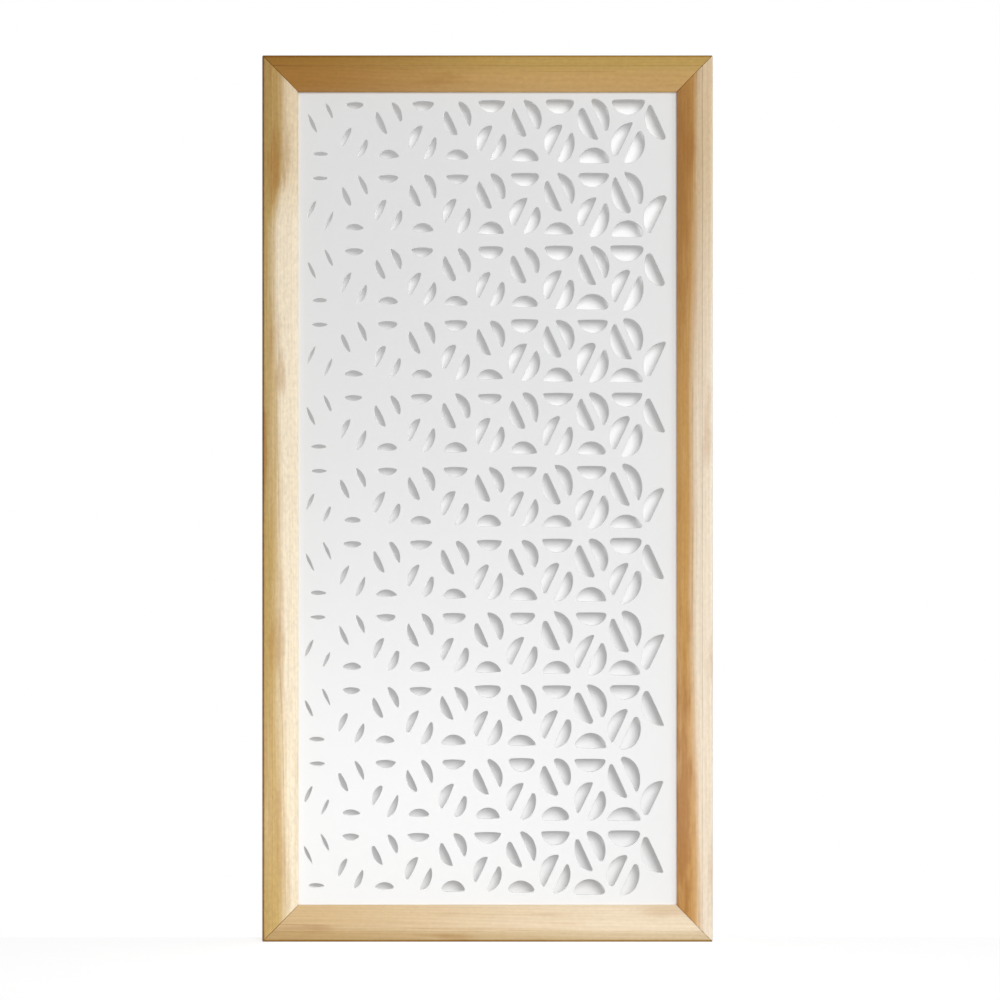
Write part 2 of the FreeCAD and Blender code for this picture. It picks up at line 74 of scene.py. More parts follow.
# %% Camera
PICTURE_SPAN = 1.3529
CAMERA_DISTANCE = 3.6
CAMERA_X, CAMERA_Z = 0.0169, 0.598
camera_data = bpy.data.cameras.new("camera")
camera_data.lens = camera_data.sensor_width * CAMERA_DISTANCE / PICTURE_SPAN
camera = bpy.data.objects.new("camera", camera_data)
camera.location = (CAMERA_X, FRONT - CAMERA_DISTANCE, CAMERA_Z)
camera.rotation_euler = (math.pi / 2, 0, 0)
scene.collection.objects.link(camera)
scene.camera = camera
scene.view_settings.view_transform = "Standard"
print("lens", round(camera_data.lens, 1), "mm")

# %% [markdown]
# Every finish below is a small sum of noises, and sums are easier to read as Python than as nodes. A Wire
# wraps one socket, so that arithmetic on wires adds Math nodes. Every other node comes from one method.

# %% Node helper
class Wire:
    """One output socket of a node tree. Arithmetic on it adds Math nodes to that tree."""

    def __init__(self, tree, socket):
        self.tree, self.socket = tree, socket

    def math(self, operation, *values):
        return self.tree.node("ShaderNodeMath", {"operation": operation}, dict(enumerate(values)))

    def __add__(self, other): return self.math("ADD", self, other)
    def __radd__(self, other): return self.math("ADD", other, self)
    def __sub__(self, other): return self.math("SUBTRACT", self, other)
    def __rsub__(self, other): return self.math("SUBTRACT", other, self)
    def __mul__(self, other): return self.math("MULTIPLY", self, other)
    def __rmul__(self, other): return self.math("MULTIPLY", other, self)
    def __truediv__(self, other): return self.math("DIVIDE", self, other)
    def __rtruediv__(self, other): return self.math("DIVIDE", other, self)
    def __mod__(self, other): return self.math("FLOORED_MODULO", self, other)
    def __pow__(self, other): return self.math("POWER", self, other)
    def __gt__(self, other): return self.math("GREATER_THAN", self, other)
    def __lt__(self, other): return self.math("LESS_THAN", self, other)
    def __abs__(self): return self.math("ABSOLUTE", self)


class Tree:
    """A node tree that is written as calls."""

    def __init__(self, nodes):
        self.nodes = nodes

    def node(self, kind, settings=None, sockets=None, out=0):
        made = self.nodes.nodes.new(kind)
        for name, value in (settings or {}).items():
            setattr(made, name, value)
        for name, value in (sockets or {}).items():
            for item in value if isinstance(value, list) else [value]:
                if isinstance(item, Wire):
                    self.nodes.links.new(item.socket, made.inputs[name])
                else:
                    made.inputs[name].default_value = item
        return Wire(self, made.outputs[out]) if made.outputs else made

    def feed(self, wire, socket):
        self.nodes.links.new(wire.socket, socket)

    def split(self, vector):
        parts = self.node("ShaderNodeSeparateXYZ", sockets={0: vector}).socket.node
        return [Wire(self, socket) for socket in parts.outputs]

    def join(self, x, y, z):
        return self.node("ShaderNodeCombineXYZ", sockets={0: x, 1: y, 2: z})

    def step(self, value, low, high):
        """0 below low, 1 above high, and a smooth rise between them."""
        return self.node("ShaderNodeMapRange", {"interpolation_type": "SMOOTHSTEP"},
                         {"Value": value, "From Min": low, "From Max": high})

    def mix(self, share, first, second):
        """A colour between two colours."""
        return self.node("ShaderNodeMix", {"data_type": "RGBA"}, {0: share, 6: first, 7: second}, out=2)

    def noise(self, vector, detail=2.0, roughness=0.5):
        return self.node("ShaderNodeTexNoise", sockets={"Vector": vector, "Scale": 1.0, "Detail": detail,
                                                        "Roughness": roughness})

    def place(self):
        """The three Object coordinates."""
        return self.split(self.node("ShaderNodeTexCoord", out="Object"))

    def speckle(self, place, size, detail):
        """Noise with a grain of the same size on all three axes."""
        return self.noise(self.join(*(part / size for part in place)), detail)

    def roughen(self, shader, height, strength, distance):
        """Raise and sink a shader's surface a little."""
        sockets = {"Height": height, "Strength": strength, "Distance": distance}
        self.feed(self.node("ShaderNodeBump", sockets=sockets), shader.inputs["Normal"])


def new_finish(name):
    """A material, its tree and its wired-up shader node."""
    material = bpy.data.materials.new(name)
    material.use_nodes = True
    tree = Tree(material.node_tree)
    return material, tree, material.node_tree.nodes["Principled BSDF"]


def colour(red, green, blue):
    return (red, green, blue, 1.0)


print("node helper ready")

# %% [markdown]
# The panel stands on a white floor and leans its four bumpers on a white wall. The floor shows the shadow
# near the panel and is plain white further out. The wall shows the soft shadows behind the openings, and is
# plain white around the frame, as in the picture. Only the camera sees the wall, and only from the front, so
# it takes no light from the back of the panel, and views from behind look through it. One curved backdrop
# could do both, but then the wall's shadows and the floor's could not be set apart.

# %% Floor, wall and world
def flat_stage(name, corners, material):
    mesh = bpy.data.meshes.new(name)
    mesh.from_pydata(corners, [], [range(len(corners))])
    mesh.materials.append(material)
    thing = bpy.data.objects.new(name, mesh)
    scene.collection.objects.link(thing)
    return thing


def stage_material(name):
    material, tree, shader = new_finish(name)
    material.node_tree.nodes.remove(shader)
    return material, tree, material.node_tree.nodes["Material Output"]


def background_rays(tree):
    """1 for what the camera, a reflection or a clear piece sees of the background."""
    path = tree.node("ShaderNodeLightPath").socket.node
    kinds = ("Is Camera Ray", "Is Glossy Ray", "Is Transmission Ray")
    direct, mirrored, through = (Wire(tree, path.outputs[kind]) for kind in kinds)
    return direct.math("MAXIMUM", direct, direct.math("MAXIMUM", mirrored, through))


def white_glow(tree, strength):
    return tree.node("ShaderNodeEmission", sockets={"Color": colour(1, 1, 1), "Strength": strength})


STAGE_REACH = 6.0
FLOOR_FADE = (0.8, 2.0)
SHADE_INSET = 0.02
FLOOR_PAPER, FLOOR_LIFT = colour(0.55, 0.55, 0.55), 0.75
WALL_PAPER, WALL_LIFT = colour(0.35, 0.35, 0.35), 0.23
WALL_GAP = 0.0005

floor_material, tree, output = stage_material("studio_floor")
x, y, z = tree.place()
far_off = tree.step(x.math("SQRT", x * x + y * y), *FLOOR_FADE)
seen = background_rays(tree)
matt = tree.node("ShaderNodeBsdfDiffuse", sockets={"Color": FLOOR_PAPER})
near_by = tree.node("ShaderNodeAddShader", sockets={0: matt, 1: white_glow(tree, seen * FLOOR_LIFT)})
faded = tree.node("ShaderNodeMixShader", sockets={0: far_off * seen, 1: near_by, 2: white_glow(tree, 1.0)})
tree.feed(faded, output.inputs["Surface"])
floor = flat_stage("studio_floor", [(-STAGE_REACH, -STAGE_REACH, FOOT), (STAGE_REACH, -STAGE_REACH, FOOT),
                                    (STAGE_REACH, STAGE_REACH, FOOT), (-STAGE_REACH, STAGE_REACH, FOOT)],
                   floor_material)

wall_material, tree, output = stage_material("studio_wall")
x, y, z = tree.place()
behind_panel = (abs(x) < RIGHT - SHADE_INSET) * (z > FOOT + SHADE_INSET) * (z < HEAD - SHADE_INSET)
matt = tree.node("ShaderNodeBsdfDiffuse", sockets={"Color": WALL_PAPER})
shaded = tree.node("ShaderNodeAddShader", sockets={0: matt, 1: white_glow(tree, WALL_LIFT)})
front_side = tree.node("ShaderNodeMixShader", sockets={0: behind_panel, 1: white_glow(tree, 1.0), 2: shaded})
backfacing = tree.node("ShaderNodeNewGeometry", out="Backfacing")
clear = tree.node("ShaderNodeBsdfTransparent")
both_sides = tree.node("ShaderNodeMixShader", sockets={0: backfacing, 1: front_side, 2: clear})
tree.feed(both_sides, output.inputs["Surface"])
wall_y = REAR + WALL_GAP
wall = flat_stage("studio_wall", [(-STAGE_REACH, wall_y, FOOT), (STAGE_REACH, wall_y, FOOT),
                                  (STAGE_REACH, wall_y, STAGE_REACH), (-STAGE_REACH, wall_y, STAGE_REACH)],
                  wall_material)
wall.visible_diffuse = wall.visible_glossy = wall.visible_transmission = wall.visible_shadow = False

AMBIENT = 0.25
world = bpy.data.worlds.new("studio")
world.use_nodes = True
tree = Tree(world.node_tree)
seen = background_rays(tree)
sky = world.node_tree.nodes["Background"]
sky.inputs["Color"].default_value = colour(1, 1, 1)
tree.feed(AMBIENT + seen * (1 - AMBIENT), sky.inputs["Strength"])
scene.world = world
print("stage", floor.name, wall.name)

# %% [markdown]
# The light in the picture comes from the upper right. A large softbox there lights everything, and a second
# one beside it is linked to the wall alone, so the soft shadows behind the openings have their full depth.
# The other lamps are linked to the panel alone and leave those shadows as they are: a narrow one further
# round shines along the slopes that face it, one near the camera gives the lacquer its sheen, a low
# reflector lifts the foot of the panel, and two at the rear light the back and the left edge for views from
# there. A sky picture could light it all at once, but no single lamp in it could be tuned.

# %% Lights
MIDDLE = Vector((0, 0, (FOOT + HEAD) / 2))
panel_pieces = bpy.data.collections.new("panel_pieces")
shadow_wall = bpy.data.collections.new("shadow_wall")
shadow_wall.objects.link(wall)


def softbox(name, place, width, height, radiance, aim=MIDDLE, lit=None, mirrored=True):
    """An area lamp that looks at a point of the panel. It lights one collection, or everything, and
    shiny pieces mirror it or not."""
    lamp = bpy.data.lights.new(name, "AREA")
    lamp.shape = "RECTANGLE"
    lamp.size, lamp.size_y = width, height
    lamp.energy = radiance * math.pi * width * height
    thing = bpy.data.objects.new(name, lamp)
    thing.location = place
    thing.rotation_euler = (aim - Vector(place)).to_track_quat("-Z", "Y").to_euler()
    thing.visible_camera, thing.visible_glossy = False, mirrored
    thing.light_linking.receiver_collection = lit
    scene.collection.objects.link(thing)
    return thing


softbox("key", (1.6, -5.5, 2.6), 3.2, 3.2, 5.2, mirrored=False)
softbox("shadow_key", (2.1, -5.5, 2.6), 3.2, 3.2, 16.5, lit=shadow_wall)
softbox("slope_sheen", (4.2, -2.4, 1.4), 0.9, 2.6, 5.0, lit=panel_pieces)
softbox("front_sheen", (1.3, -3.9, 0.35), 1.4, 0.7, 2.5, lit=panel_pieces)
softbox("low_reflector", (-0.2, -0.7, 0.12), 1.2, 0.22, 2.75, aim=Vector((-0.05, 0, 0.1)), lit=panel_pieces)
softbox("rear", (1.6, 2.6, 1.9), 1.6, 1.6, 7.5, lit=panel_pieces, mirrored=False)
softbox("rear_left", (-2.2, 2.0, 1.3), 1.2, 1.2, 3.6, lit=panel_pieces, mirrored=False)

# %% [markdown]
# The moulding is clear-lacquered softwood. Each length has its own board behind it: a darker tone on one
# edge, a paler one on the other, growth lines along the run, and a few brown patches. On the stiles and the
# bottom rail the two tones are set so that the slopes that face the light are pale and the right stile's
# slope, which faces away, is dark, and two long brown patches darken that slope further: painted light and
# shade over the
# wood's own tone. Each moulding length also grows darker towards the top of a stile or the left end of a
# rail:
# painted shade, where less light and sheen fall. A painted UV map could show them, but here all of it is
# noise that is stretched along the grain and read from Object coordinates, so the pattern runs through the
# solid piece. The outer arris is painted dark on the left stile and the rails, as painted shade, and the
# lacquer is thinner there. On the right stile the arris is painted pale, as a painted highlight.

# %% Timber finish
RAIL_FACE = 0.048
INNER, OUTER = RIGHT - RAIL_FACE, RIGHT
RING_PITCH = 0.0052
ARRIS_WIDTH, ARRIS_DEPTH = (0.0014, 0.0042), (FRONT + 0.004, FRONT + 0.010)
WARMTH = (0.7, 1.0, 1.5)
BLOTCH_FADE, BLOTCH_RAG = (0.2, 1.05), 1.8


def timber(name, grain_axis, seed, tones, tone_band, painted_end_shade, lacquer, lean=0.0, arris=0.0, texture=1.0,
           blotches_and_shade=()):
    """Softwood. tones are the first tone, the second tone and the tone of brown patches, which on the right
    stile also paints shade. tone_band is where across the board the second tone starts and ends, and lean is
    its slope along the board. On the stiles and the bottom rail it puts the pale tone on the slope that faces
    the light and the dark tone on the right stile's slope, which faces away: painted light and shade.
    painted_end_shade is where
    the board starts to darken, where it is darkest, by how much, and how far the tone band draws back there:
    painted shade. arris is how dark the outer edge is painted: painted shade above zero, a painted highlight
    below it. texture is how strong the fine grain is. Each blotch is a place along and across the board, half
    its two sizes, and its strength; the long ones on the right stile paint shade on its slope. What darkens
    the board takes more blue than red, by the shares in WARMTH."""
    material, tree, shader = new_finish(name)
    x, y, z = tree.place()
    run, across = (x, z) if grain_axis == "X" else (z - MIDDLE.z, x)

    def grain(length, width, detail=2.0, roughness=0.5):
        stretched = tree.join(run / length + seed, across / width + seed * 1.7, y / width)
        return tree.noise(stretched, detail, roughness)

    first_tone, second_tone, stain_and_shade_tone = tones
    start, finish, depth, drift = painted_end_shade
    # Painted shade: the board grows darker towards one end, where less light and sheen fall.
    dark = tree.step(run, start, finish)
    wander = across + run * lean - dark * drift + (grain(0.34, 0.03) - 0.5) * 0.012
    # Painted light and shade: on the stiles and the bottom rail the pale tone falls on the slopes that face
    # the light and the dark tone on the right stile's slope, which faces away.
    tone_band_share = tree.step(wander, *tone_band)
    edge_line = 1 - tree.step(abs(wander - sum(tone_band) / 2), 0.0002, 0.0009)
    edge_line = edge_line * tree.step(grain(0.22, 0.2), 0.46, 0.58)
    figure = grain(0.42, 0.016, 3.0) - 0.5
    streaks = grain(0.16, 0.0019, 3.0, 0.65) - 0.5
    mottle = grain(0.007, 0.0045, 2.0) - 0.5
    fibres = grain(0.012, 0.0004, 2.0, 0.7) - 0.5
    stains_and_shade = tree.step(grain(0.15, 0.023, 2.0, 0.5), 0.54, 0.74)
    stains_and_shade = stains_and_shade * (0.5 - tone_band_share * 0.2)
    # The long patches on the right stile lie on its slope that faces away from the light: painted shade. The
    # short ones on the left stile are the wood's own colour.
    for place, aside, half_length, half_width, strength in blotches_and_shade:
        ahead, beside = (run - place) / half_length, (across - aside) / half_width
        ragged = (grain(0.05, 0.007, 3.0) - 0.5) * BLOTCH_RAG
        away = x.math("SQRT", ahead * ahead + beside * beside) + ragged
        stains_and_shade = x.math("MAXIMUM", stains_and_shade, strength - strength * tree.step(away, *BLOTCH_FADE))
    flecks = tree.step(grain(0.008, 0.0011, 1.0), 0.70, 0.78)
    lines = tree.step(grain(0.7, 0.0032, 1.0), 0.68, 0.75)
    phase = wander + y * 0.4 + figure * 0.012
    rings = 0.5 + 0.5 * phase.math("SINE", phase * (2 * math.pi / RING_PITCH))

    tone = tree.mix(tone_band_share + figure * 0.6 + streaks * 0.5, first_tone, second_tone)
    tone = tree.mix(stains_and_shade, tone, stain_and_shade_tone)
    shade = 1.0 + streaks * 0.08 + (fibres + mottle) * (0.14 * texture)
    from_edge = OUTER - abs(x) if grain_axis == "Z" else x.math("MINIMUM", z - FOOT, HEAD - z)
    # Painted shade along the outer arris where arris is above zero, a painted highlight where it is below
    # zero.
    arris_shade_band = (1 - tree.step(from_edge, *ARRIS_WIDTH)) * (1 - tree.step(y, *ARRIS_DEPTH))
    marks_and_arris_shade = rings * 0.05 + flecks * (0.1 * texture) + lines * 0.07 + edge_line * 0.22 + arris_shade_band * arris
    deepened = [(shade - marks_and_arris_shade * warmth) * (1.0 - dark * (depth * warmth)) for warmth in WARMTH]
    base = tree.node("ShaderNodeMix", {"data_type": "RGBA", "blend_type": "MULTIPLY"},
                     {0: 1.0, 6: tone, 7: tree.join(*deepened)}, out=2)
    tree.feed(base, shader.inputs["Base Color"])
    tree.feed(0.38 + (0.0 if lacquer else 0.2) + streaks * 0.16 + fibres * 0.12, shader.inputs["Roughness"])
    height = streaks * 0.5 + fibres * 0.5 - rings * 0.1 - flecks * 0.4
    tree.roughen(shader, height, strength=0.25, distance=0.0002)
    shader.inputs["Specular IOR Level"].default_value = 0.15
    if lacquer:
        tree.feed(lacquer - arris_shade_band * (lacquer if arris > 0 else 0.0), shader.inputs["Coat Weight"])
    shader.inputs["Coat Roughness"].default_value = 0.22
    return material


STAIN = colour(0.44, 0.22, 0.045)
timbers = {
    # Painted light: the pale tone on this stile's slope, which faces the light.
    "left_stile": timber(
        "left_stile_timber", "Z", 15.1, (colour(0.55, 0.37, 0.128), colour(0.91, 0.795, 0.61), STAIN),
        tone_band=(-OUTER + 0.010, -INNER - 0.016), painted_end_shade=(0.36, 0.46, 0.18, 0.017), lacquer=0.4, lean=0.018,
        arris=0.65, texture=2.3,
        blotches_and_shade=[(0.45, -0.287, 0.06, 0.014, 0.66), (0.17, -0.28, 0.05, 0.008, 0.4),
                  (0.07, -0.303, 0.09, 0.008, 0.66), (-0.49, -0.279, 0.05, 0.007, 0.2)]),
    # Painted shade: the dark tone and two long brown patches on this stile's slope, which faces away from the
    # light. Its pale arris is a painted highlight.
    "right_stile": timber(
        "right_stile_timber", "Z", 2.9,
        (colour(0.64, 0.355, 0.108), colour(0.905, 0.78, 0.62), colour(0.45, 0.19, 0.035)),
        tone_band=(INNER + 0.012, OUTER - 0.018), painted_end_shade=(0.1, 0.5, 0.28, 0.010), lacquer=0.4, lean=0.011,
        arris=-0.14, texture=1.5,
        blotches_and_shade=[(-0.45, 0.264, 0.28, 0.018, 0.9), (0.42, 0.262, 0.30, 0.014, 0.5)]),
    "top_rail": timber(
        "top_rail_timber", "X", 5.7, (colour(0.64, 0.395, 0.142), colour(0.535, 0.345, 0.095), STAIN),
        tone_band=(HEAD - 0.036, HEAD - 0.010), painted_end_shade=(0.1, -0.29, 0.52, 0.010), lacquer=0.35, arris=0.4,
        texture=1.5),
    # Painted light: the pale tone on this rail's slope, which faces up to the light.
    "bottom_rail": timber(
        "bottom_rail_timber", "X", 1.6, (colour(0.69, 0.54, 0.33), colour(0.85, 0.71, 0.525), STAIN),
        tone_band=(FOOT + 0.002, FOOT + 0.024), painted_end_shade=(0.25, -0.30, 0.37, 0.010), lacquer=0.4, arris=0.6),
}
print("timber finishes", list(timbers))

# %% [markdown]
# The four lengths share one section: a flat outer band with a rounded edge, a fine quirk, a long curve that
# falls to the sight edge, and a rebate behind. A Bevel modifier would round every edge alike, so the section
# is drawn once as a list of corners, each with its own radius.

# %% Moulding section
def corner_arc(before, corner, after, radius, steps):
    """Points that round a corner of a section."""
    towards, onward = (before - corner).normalized(), (after - corner).normalized()
    half = towards.angle(onward) / 2
    centre = corner + (towards + onward).normalized() * (radius / math.sin(half))
    reach = radius / math.tan(half)
    start, finish = corner + towards * reach - centre, corner + onward * reach - centre
    turn = start.angle_signed(finish)
    return [centre + Matrix.Rotation(-turn * step / steps, 2) @ start for step in range(steps + 1)]


def rounded_section(corners, steps=4):
    """A closed section from (depth, inset, radius) corners in millimetres, as points in metres."""
    points = [Vector((depth, inset)) / 1000 for depth, inset, _ in corners]
    outline = []
    for index, (_, _, radius) in enumerate(corners):
        before, corner, after = points[index - 1], points[index], points[(index + 1) % len(points)]
        outline += corner_arc(before, corner, after, radius / 1000, steps) if radius else [corner]
    return outline


def bulge(start, finish, radius, steps):
    """Corners along an arc from start to finish that bulges towards the front, without its two ends."""
    start, finish = Vector(start), Vector(finish)
    chord = finish - start
    normal = Vector((-chord.y, chord.x)).normalized()
    centre = (start + finish) / 2 - normal * math.sqrt(radius ** 2 - (chord.length / 2) ** 2)
    turn = (start - centre).angle_signed(finish - centre)
    arc = [centre + Matrix.Rotation(-turn * step / steps, 2) @ (start - centre) for step in range(1, steps)]
    return [(point.x, point.y, 0) for point in arc]


BACK_EASE = 0.05
slope_top, slope_foot = (-31.1, 14.5), (-20.2, 46.4)
slope = bulge(slope_top, slope_foot, 73, 14)
MOULDING = rounded_section([
    (-BACK_EASE, 0, 1.0), (-32, 0, 3.0), (-32, 13.7, 0.9), (-31.2, 14.5, 0.3), *slope,
    (*slope_foot, 0.7), (-18.8, 48, 0.7), (-15, 48, 0.3), (-15, 38, 0), (-BACK_EASE, 38, 0.3),
])
print("moulding section", len(MOULDING), "points")

# %% [markdown]
# Each side is one length of that section, cut at 45 degrees at both ends. A curve with a bevel object would
# sweep it too, but leaves the mitres to chance, so the rings of points that bound a length are placed one by
# one. Each mitred edge is eased a little, so the joint shows.

# %% Mitred lengths
MITRE_EASE, MITRE_DEPTH = 0.0006, 0.0012
SIDES = ("bottom", "right", "top", "left")


def side_point(side, along, inset, depth):
    """A point of a side: along its run, in from the outer edge, and from the timber's back."""
    y = BACK + depth
    return {"bottom": (along, y, FOOT + inset), "right": (RIGHT - inset, y, MIDDLE.z + along),
            "top": (along, y, HEAD - inset), "left": (LEFT + inset, y, MIDDLE.z + along)}[side]


def finish_mesh(name, bm, material, crease=math.radians(32)):
    """Close a bmesh into an object: doubles merged, faces outward, smooth except at its creases."""
    bmesh.ops.remove_doubles(bm, verts=bm.verts, dist=1e-7)
    bmesh.ops.recalc_face_normals(bm, faces=bm.faces)
    for face in bm.faces:
        face.smooth = True
    for edge in bm.edges:
        edge.smooth = len(edge.link_faces) == 2 and edge.calc_face_angle() < crease
    mesh = bpy.data.meshes.new(name)
    bm.to_mesh(mesh)
    bm.free()
    mesh.materials.append(material)
    piece = bpy.data.objects.new(name, mesh)
    scene.collection.objects.link(piece)
    return piece


def shrunk(outline, amount):
    """The outline moved inwards by a small amount."""
    moved = []
    for index, point in enumerate(outline):
        before, after = outline[index - 1], outline[(index + 1) % len(outline)]
        along = (after - before).normalized()
        moved.append(point - Vector((along.y, -along.x)) * amount)
    return moved


def outline_area(outline):
    pairs = zip(outline, outline[1:] + outline[:1])
    return sum(a.x * b.y - b.x * a.y for a, b in pairs) / 2


def skin(bm, rings, closed=False):
    """Faces between rings of points. The last ring meets the first, or both ends get a cap."""
    for first, second in zip(rings, rings[1:] + (rings[:1] if closed else [])):
        for index in range(len(first)):
            bm.faces.new((first[index - 1], first[index], second[index], second[index - 1]))
    if not closed:
        bm.faces.new(rings[0])
        bm.faces.new(rings[-1])


def mitred_length(name, side, outline, material):
    """One side of the frame: the section swept along its run, cut at 45 degrees at both ends."""
    half = (RIGHT - LEFT) / 2 if side in ("bottom", "top") else (HEAD - FOOT) / 2
    outline = outline if outline_area(outline) > 0 else outline[::-1]
    eased = shrunk(outline, MITRE_DEPTH)
    stations = [(-1, eased, 0), (-1, outline, MITRE_EASE), (1, outline, MITRE_EASE), (1, eased, 0)]
    bm = bmesh.new()
    rings = []
    for end, ring_outline, held_back in stations:
        rings.append([bm.verts.new(side_point(side, end * (half - point.y - held_back), point.y, point.x))
                      for point in ring_outline])
    skin(bm, rings)
    return finish_mesh(name, bm, material)


def dress(piece, body, slot, *nodes):
    """Hand a finished piece over: its body, and the CAD nodes that it stands for. slot is not used."""
    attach(piece, body)
    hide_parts(*nodes)
    panel_pieces.objects.link(piece)
    print(piece.name, len(piece.data.polygons), "faces")


for side, node in zip(SIDES, ("bottom_rail", "right_stile", "top_rail", "left_stile")):
    length = mitred_length(f"{node}_moulding", side, MOULDING, timbers[node])
    dress(length, "frame", "moulding_timber", node)

# %% [markdown]
# Four square beads sit in the rebate behind the sheet. They are the same softwood without lacquer, with the
# inner back edge taken off. Their mitres fall on the same lines, so they are swept like the moulding.

# %% Beads
BEAD = rounded_section([(-BACK_EASE, 38.05, 0.3), (-9, 38.05, 0), (-9, 47.45, 0.3), (-3, 47.45, 0.4),
                        (-BACK_EASE, 44.5, 0.4)], steps=3)
BARE = (colour(0.66, 0.45, 0.21), colour(0.78, 0.60, 0.35), STAIN)
for side, axis in zip(SIDES, "XZXZ"):
    bare_timber = timber(f"{side}_bead_timber", axis, 11.3 + len(side), BARE, (-0.2, 0.9),
                         (0.0, 0.5, 0.1, 0.0), 0.0)
    strip = mitred_length(f"{side}_bead_strip", side, BEAD, bare_timber)
    dress(strip, "frame", "bead_timber", f"{side}_bead")

# %% [markdown]
# The sheet is sprayed white. One flat white would look like paper, so the finish has a faint cloudiness, the
# orange peel of a sprayed coat and a little grit, all too weak to see as a pattern.

# %% White sheet finish
def white_sheet():
    material, tree, shader = new_finish("white_sheet")
    place = x, y, z = tree.place()
    cloud = tree.noise(tree.join(x / 0.11, y / 0.11, z / 0.16), 3.0) - 0.5
    peel = tree.speckle(place, 0.0016, 2.0) - 0.5
    grit = tree.speckle(place, 0.0005, 1.0) - 0.5
    tone = tree.mix(0.5 + cloud * 0.9 + grit * 0.3, colour(0.848, 0.85, 0.85), colour(0.88, 0.883, 0.883))
    tree.feed(tone, shader.inputs["Base Color"])
    tree.feed(0.46 + cloud * 0.12 + peel * 0.14, shader.inputs["Roughness"])
    tree.roughen(shader, peel + grit * 0.4, strength=0.12, distance=0.0001)
    return material


sheet_finish = white_sheet()
print("finish", sheet_finish.name)

# %% [markdown]
# The sheet is the main piece, and its shape follows a rule, so Geometry Nodes make it. Pairs of half-moons
# sit back to back on a triangular lattice. The strip between a pair lies flat, rises or falls in turn, and
# the half-moons grow from left to right: the first are slim spindles, and they soon flatten. A repeatable
# scatter changes each one a little. Drawing them one by one would hide that rule, so every value is a field
# of the lattice point's own number.

# %% Half-moon lattice, as fields
COLUMNS, LEVELS = 10, 17
STEEP = math.sqrt(3) / 2
# Shares of the pitch between levels, in the first and the last column, and how fast the widths grow.
LENGTH_SHARES, WIDTH_SHARES, WIDTH_GROWTH, SPREAD_SHARE = (0.437, 0.897), (0.085, 0.33), 0.75, 0.252
# Shares of a half-moon's own width: what lies on the belly side of its tips, and its round ends.
BELLY_SHARES, BELLY_FADE, END_SHARES = (0.42, 0.03), 3, (0.07, 0.27)
LENGTH_SCATTER, WIDTH_SCATTER, SKEW_SCATTER, SKEW_WIDTH = 0.12, 0.24, 0.5, 0.8
COLUMN_STEP, LEVEL_STEP, SIDE_STEP, QUALITY_STEP, SCATTER_GAIN = 1.93, 4.71, 2.39, 0.77, 437.5


def between(ends, share):
    return ends[0] + (ends[1] - ends[0]) * share


def lattice_fields(tree, sizes):
    """What each lattice point needs to know of its half-moon, worked out from the point's own index."""
    index = tree.node("GeometryNodeInputIndex")
    column = index.math("FLOOR", index / (2 * LEVELS))
    level = index.math("FLOOR", (index % (2 * LEVELS)) / 2)
    side = (index % 2) * 2 - 1
    odd = column % 2
    lean = (level + odd) % 3 - 1
    leaning = abs(lean)

    def scatter(quality):
        phase = column * COLUMN_STEP + level * LEVEL_STEP + side * SIDE_STEP + quality * QUALITY_STEP
        return index.math("FRACT", SCATTER_GAIN * index.math("SINE", phase))

    def vary(share, quality):
        return 1 + share * (scatter(quality) - 0.5)

    pitch, squeeze = sizes["Level pitch"], sizes["Column pitch"] / sizes["Level pitch"] / STEEP
    grade = column / COLUMNS
    length = pitch * between(LENGTH_SHARES, grade) * vary(LENGTH_SCATTER, 1)
    height = pitch * between(WIDTH_SHARES, grade ** WIDTH_GROWTH) * vary(WIDTH_SCATTER, 2)
    belly = between(BELLY_SHARES[::-1], (1 - grade) ** BELLY_FADE)
    crown = 1 - belly
    handed = side * (1 - 2 * (lean < -0.5))
    run_x, run_y = squeeze * (1 - leaning / 2) * handed, leaning * STEEP * side
    rise_x, rise_y = -1 * squeeze * STEEP * leaning * side, (1 - leaning / 2) * handed
    run_length = index.math("SQRT", run_x * run_x + run_y * run_y)
    along_x, along_y = run_x / run_length, run_y / run_length
    width = height * (rise_y * along_x - rise_x * along_y)
    half_length = length / 2 * run_length
    skew = SKEW_SCATTER * (half_length - SKEW_WIDTH * width) * (scatter(3) - 0.5)
    apex = crown * height * (rise_x * along_x + rise_y * along_y) + skew
    spread = pitch * SPREAD_SHARE + (belly - crown) * height / 2
    flat = 1 - leaning
    last_column = column > COLUMNS - 0.5
    past_the_edge = last_column * (1 - leaning * (side > 0))
    cut_off = flat * (odd * (level < 0.5) * (side > 0) + (1 - odd) * (level > LEVELS - 1.5) * (side < 0))
    left_out = index.math("MAXIMUM", past_the_edge, cut_off)
    fields = {
        "middle_x": sizes["First column"] + column * sizes["Column pitch"] + rise_x * spread,
        "middle_y": sizes["First level"] - (level + (1 - odd) / 2) * pitch + rise_y * spread,
        "along_x": along_x, "along_y": along_y, "half_length": half_length, "apex": apex,
        "crown": crown * width, "belly": belly * width,
        "first_end": width * between(END_SHARES, scatter(4)),
        "second_end": width * between(END_SHARES, scatter(5)),
    }
    return fields, left_out


LATTICE_POINTS = 2 * LEVELS * (COLUMNS + 1)
print("lattice points", LATTICE_POINTS)

# %% [markdown]
# An outline is a crown of two arcs, a belly of two flatter ones, and two round ends that touch both. A curve
# would need its own points for each opening. Instead, one strip of grid is wrapped round every outline with
# a few lines of trigonometry. Its outer rows ease the rims, and the row between them is the opening's wall.

# %% Half-moon outline, as fields
HALF_SAMPLES, BELLY_SAMPLES, END_SAMPLES, RINGS = 13, 3, 4, 4
QUARTER = math.pi / 2
KEPT = ("middle_x", "middle_y", "along_x", "along_y", "half_length", "crown", "belly", "apex", "first_end",
        "second_end")


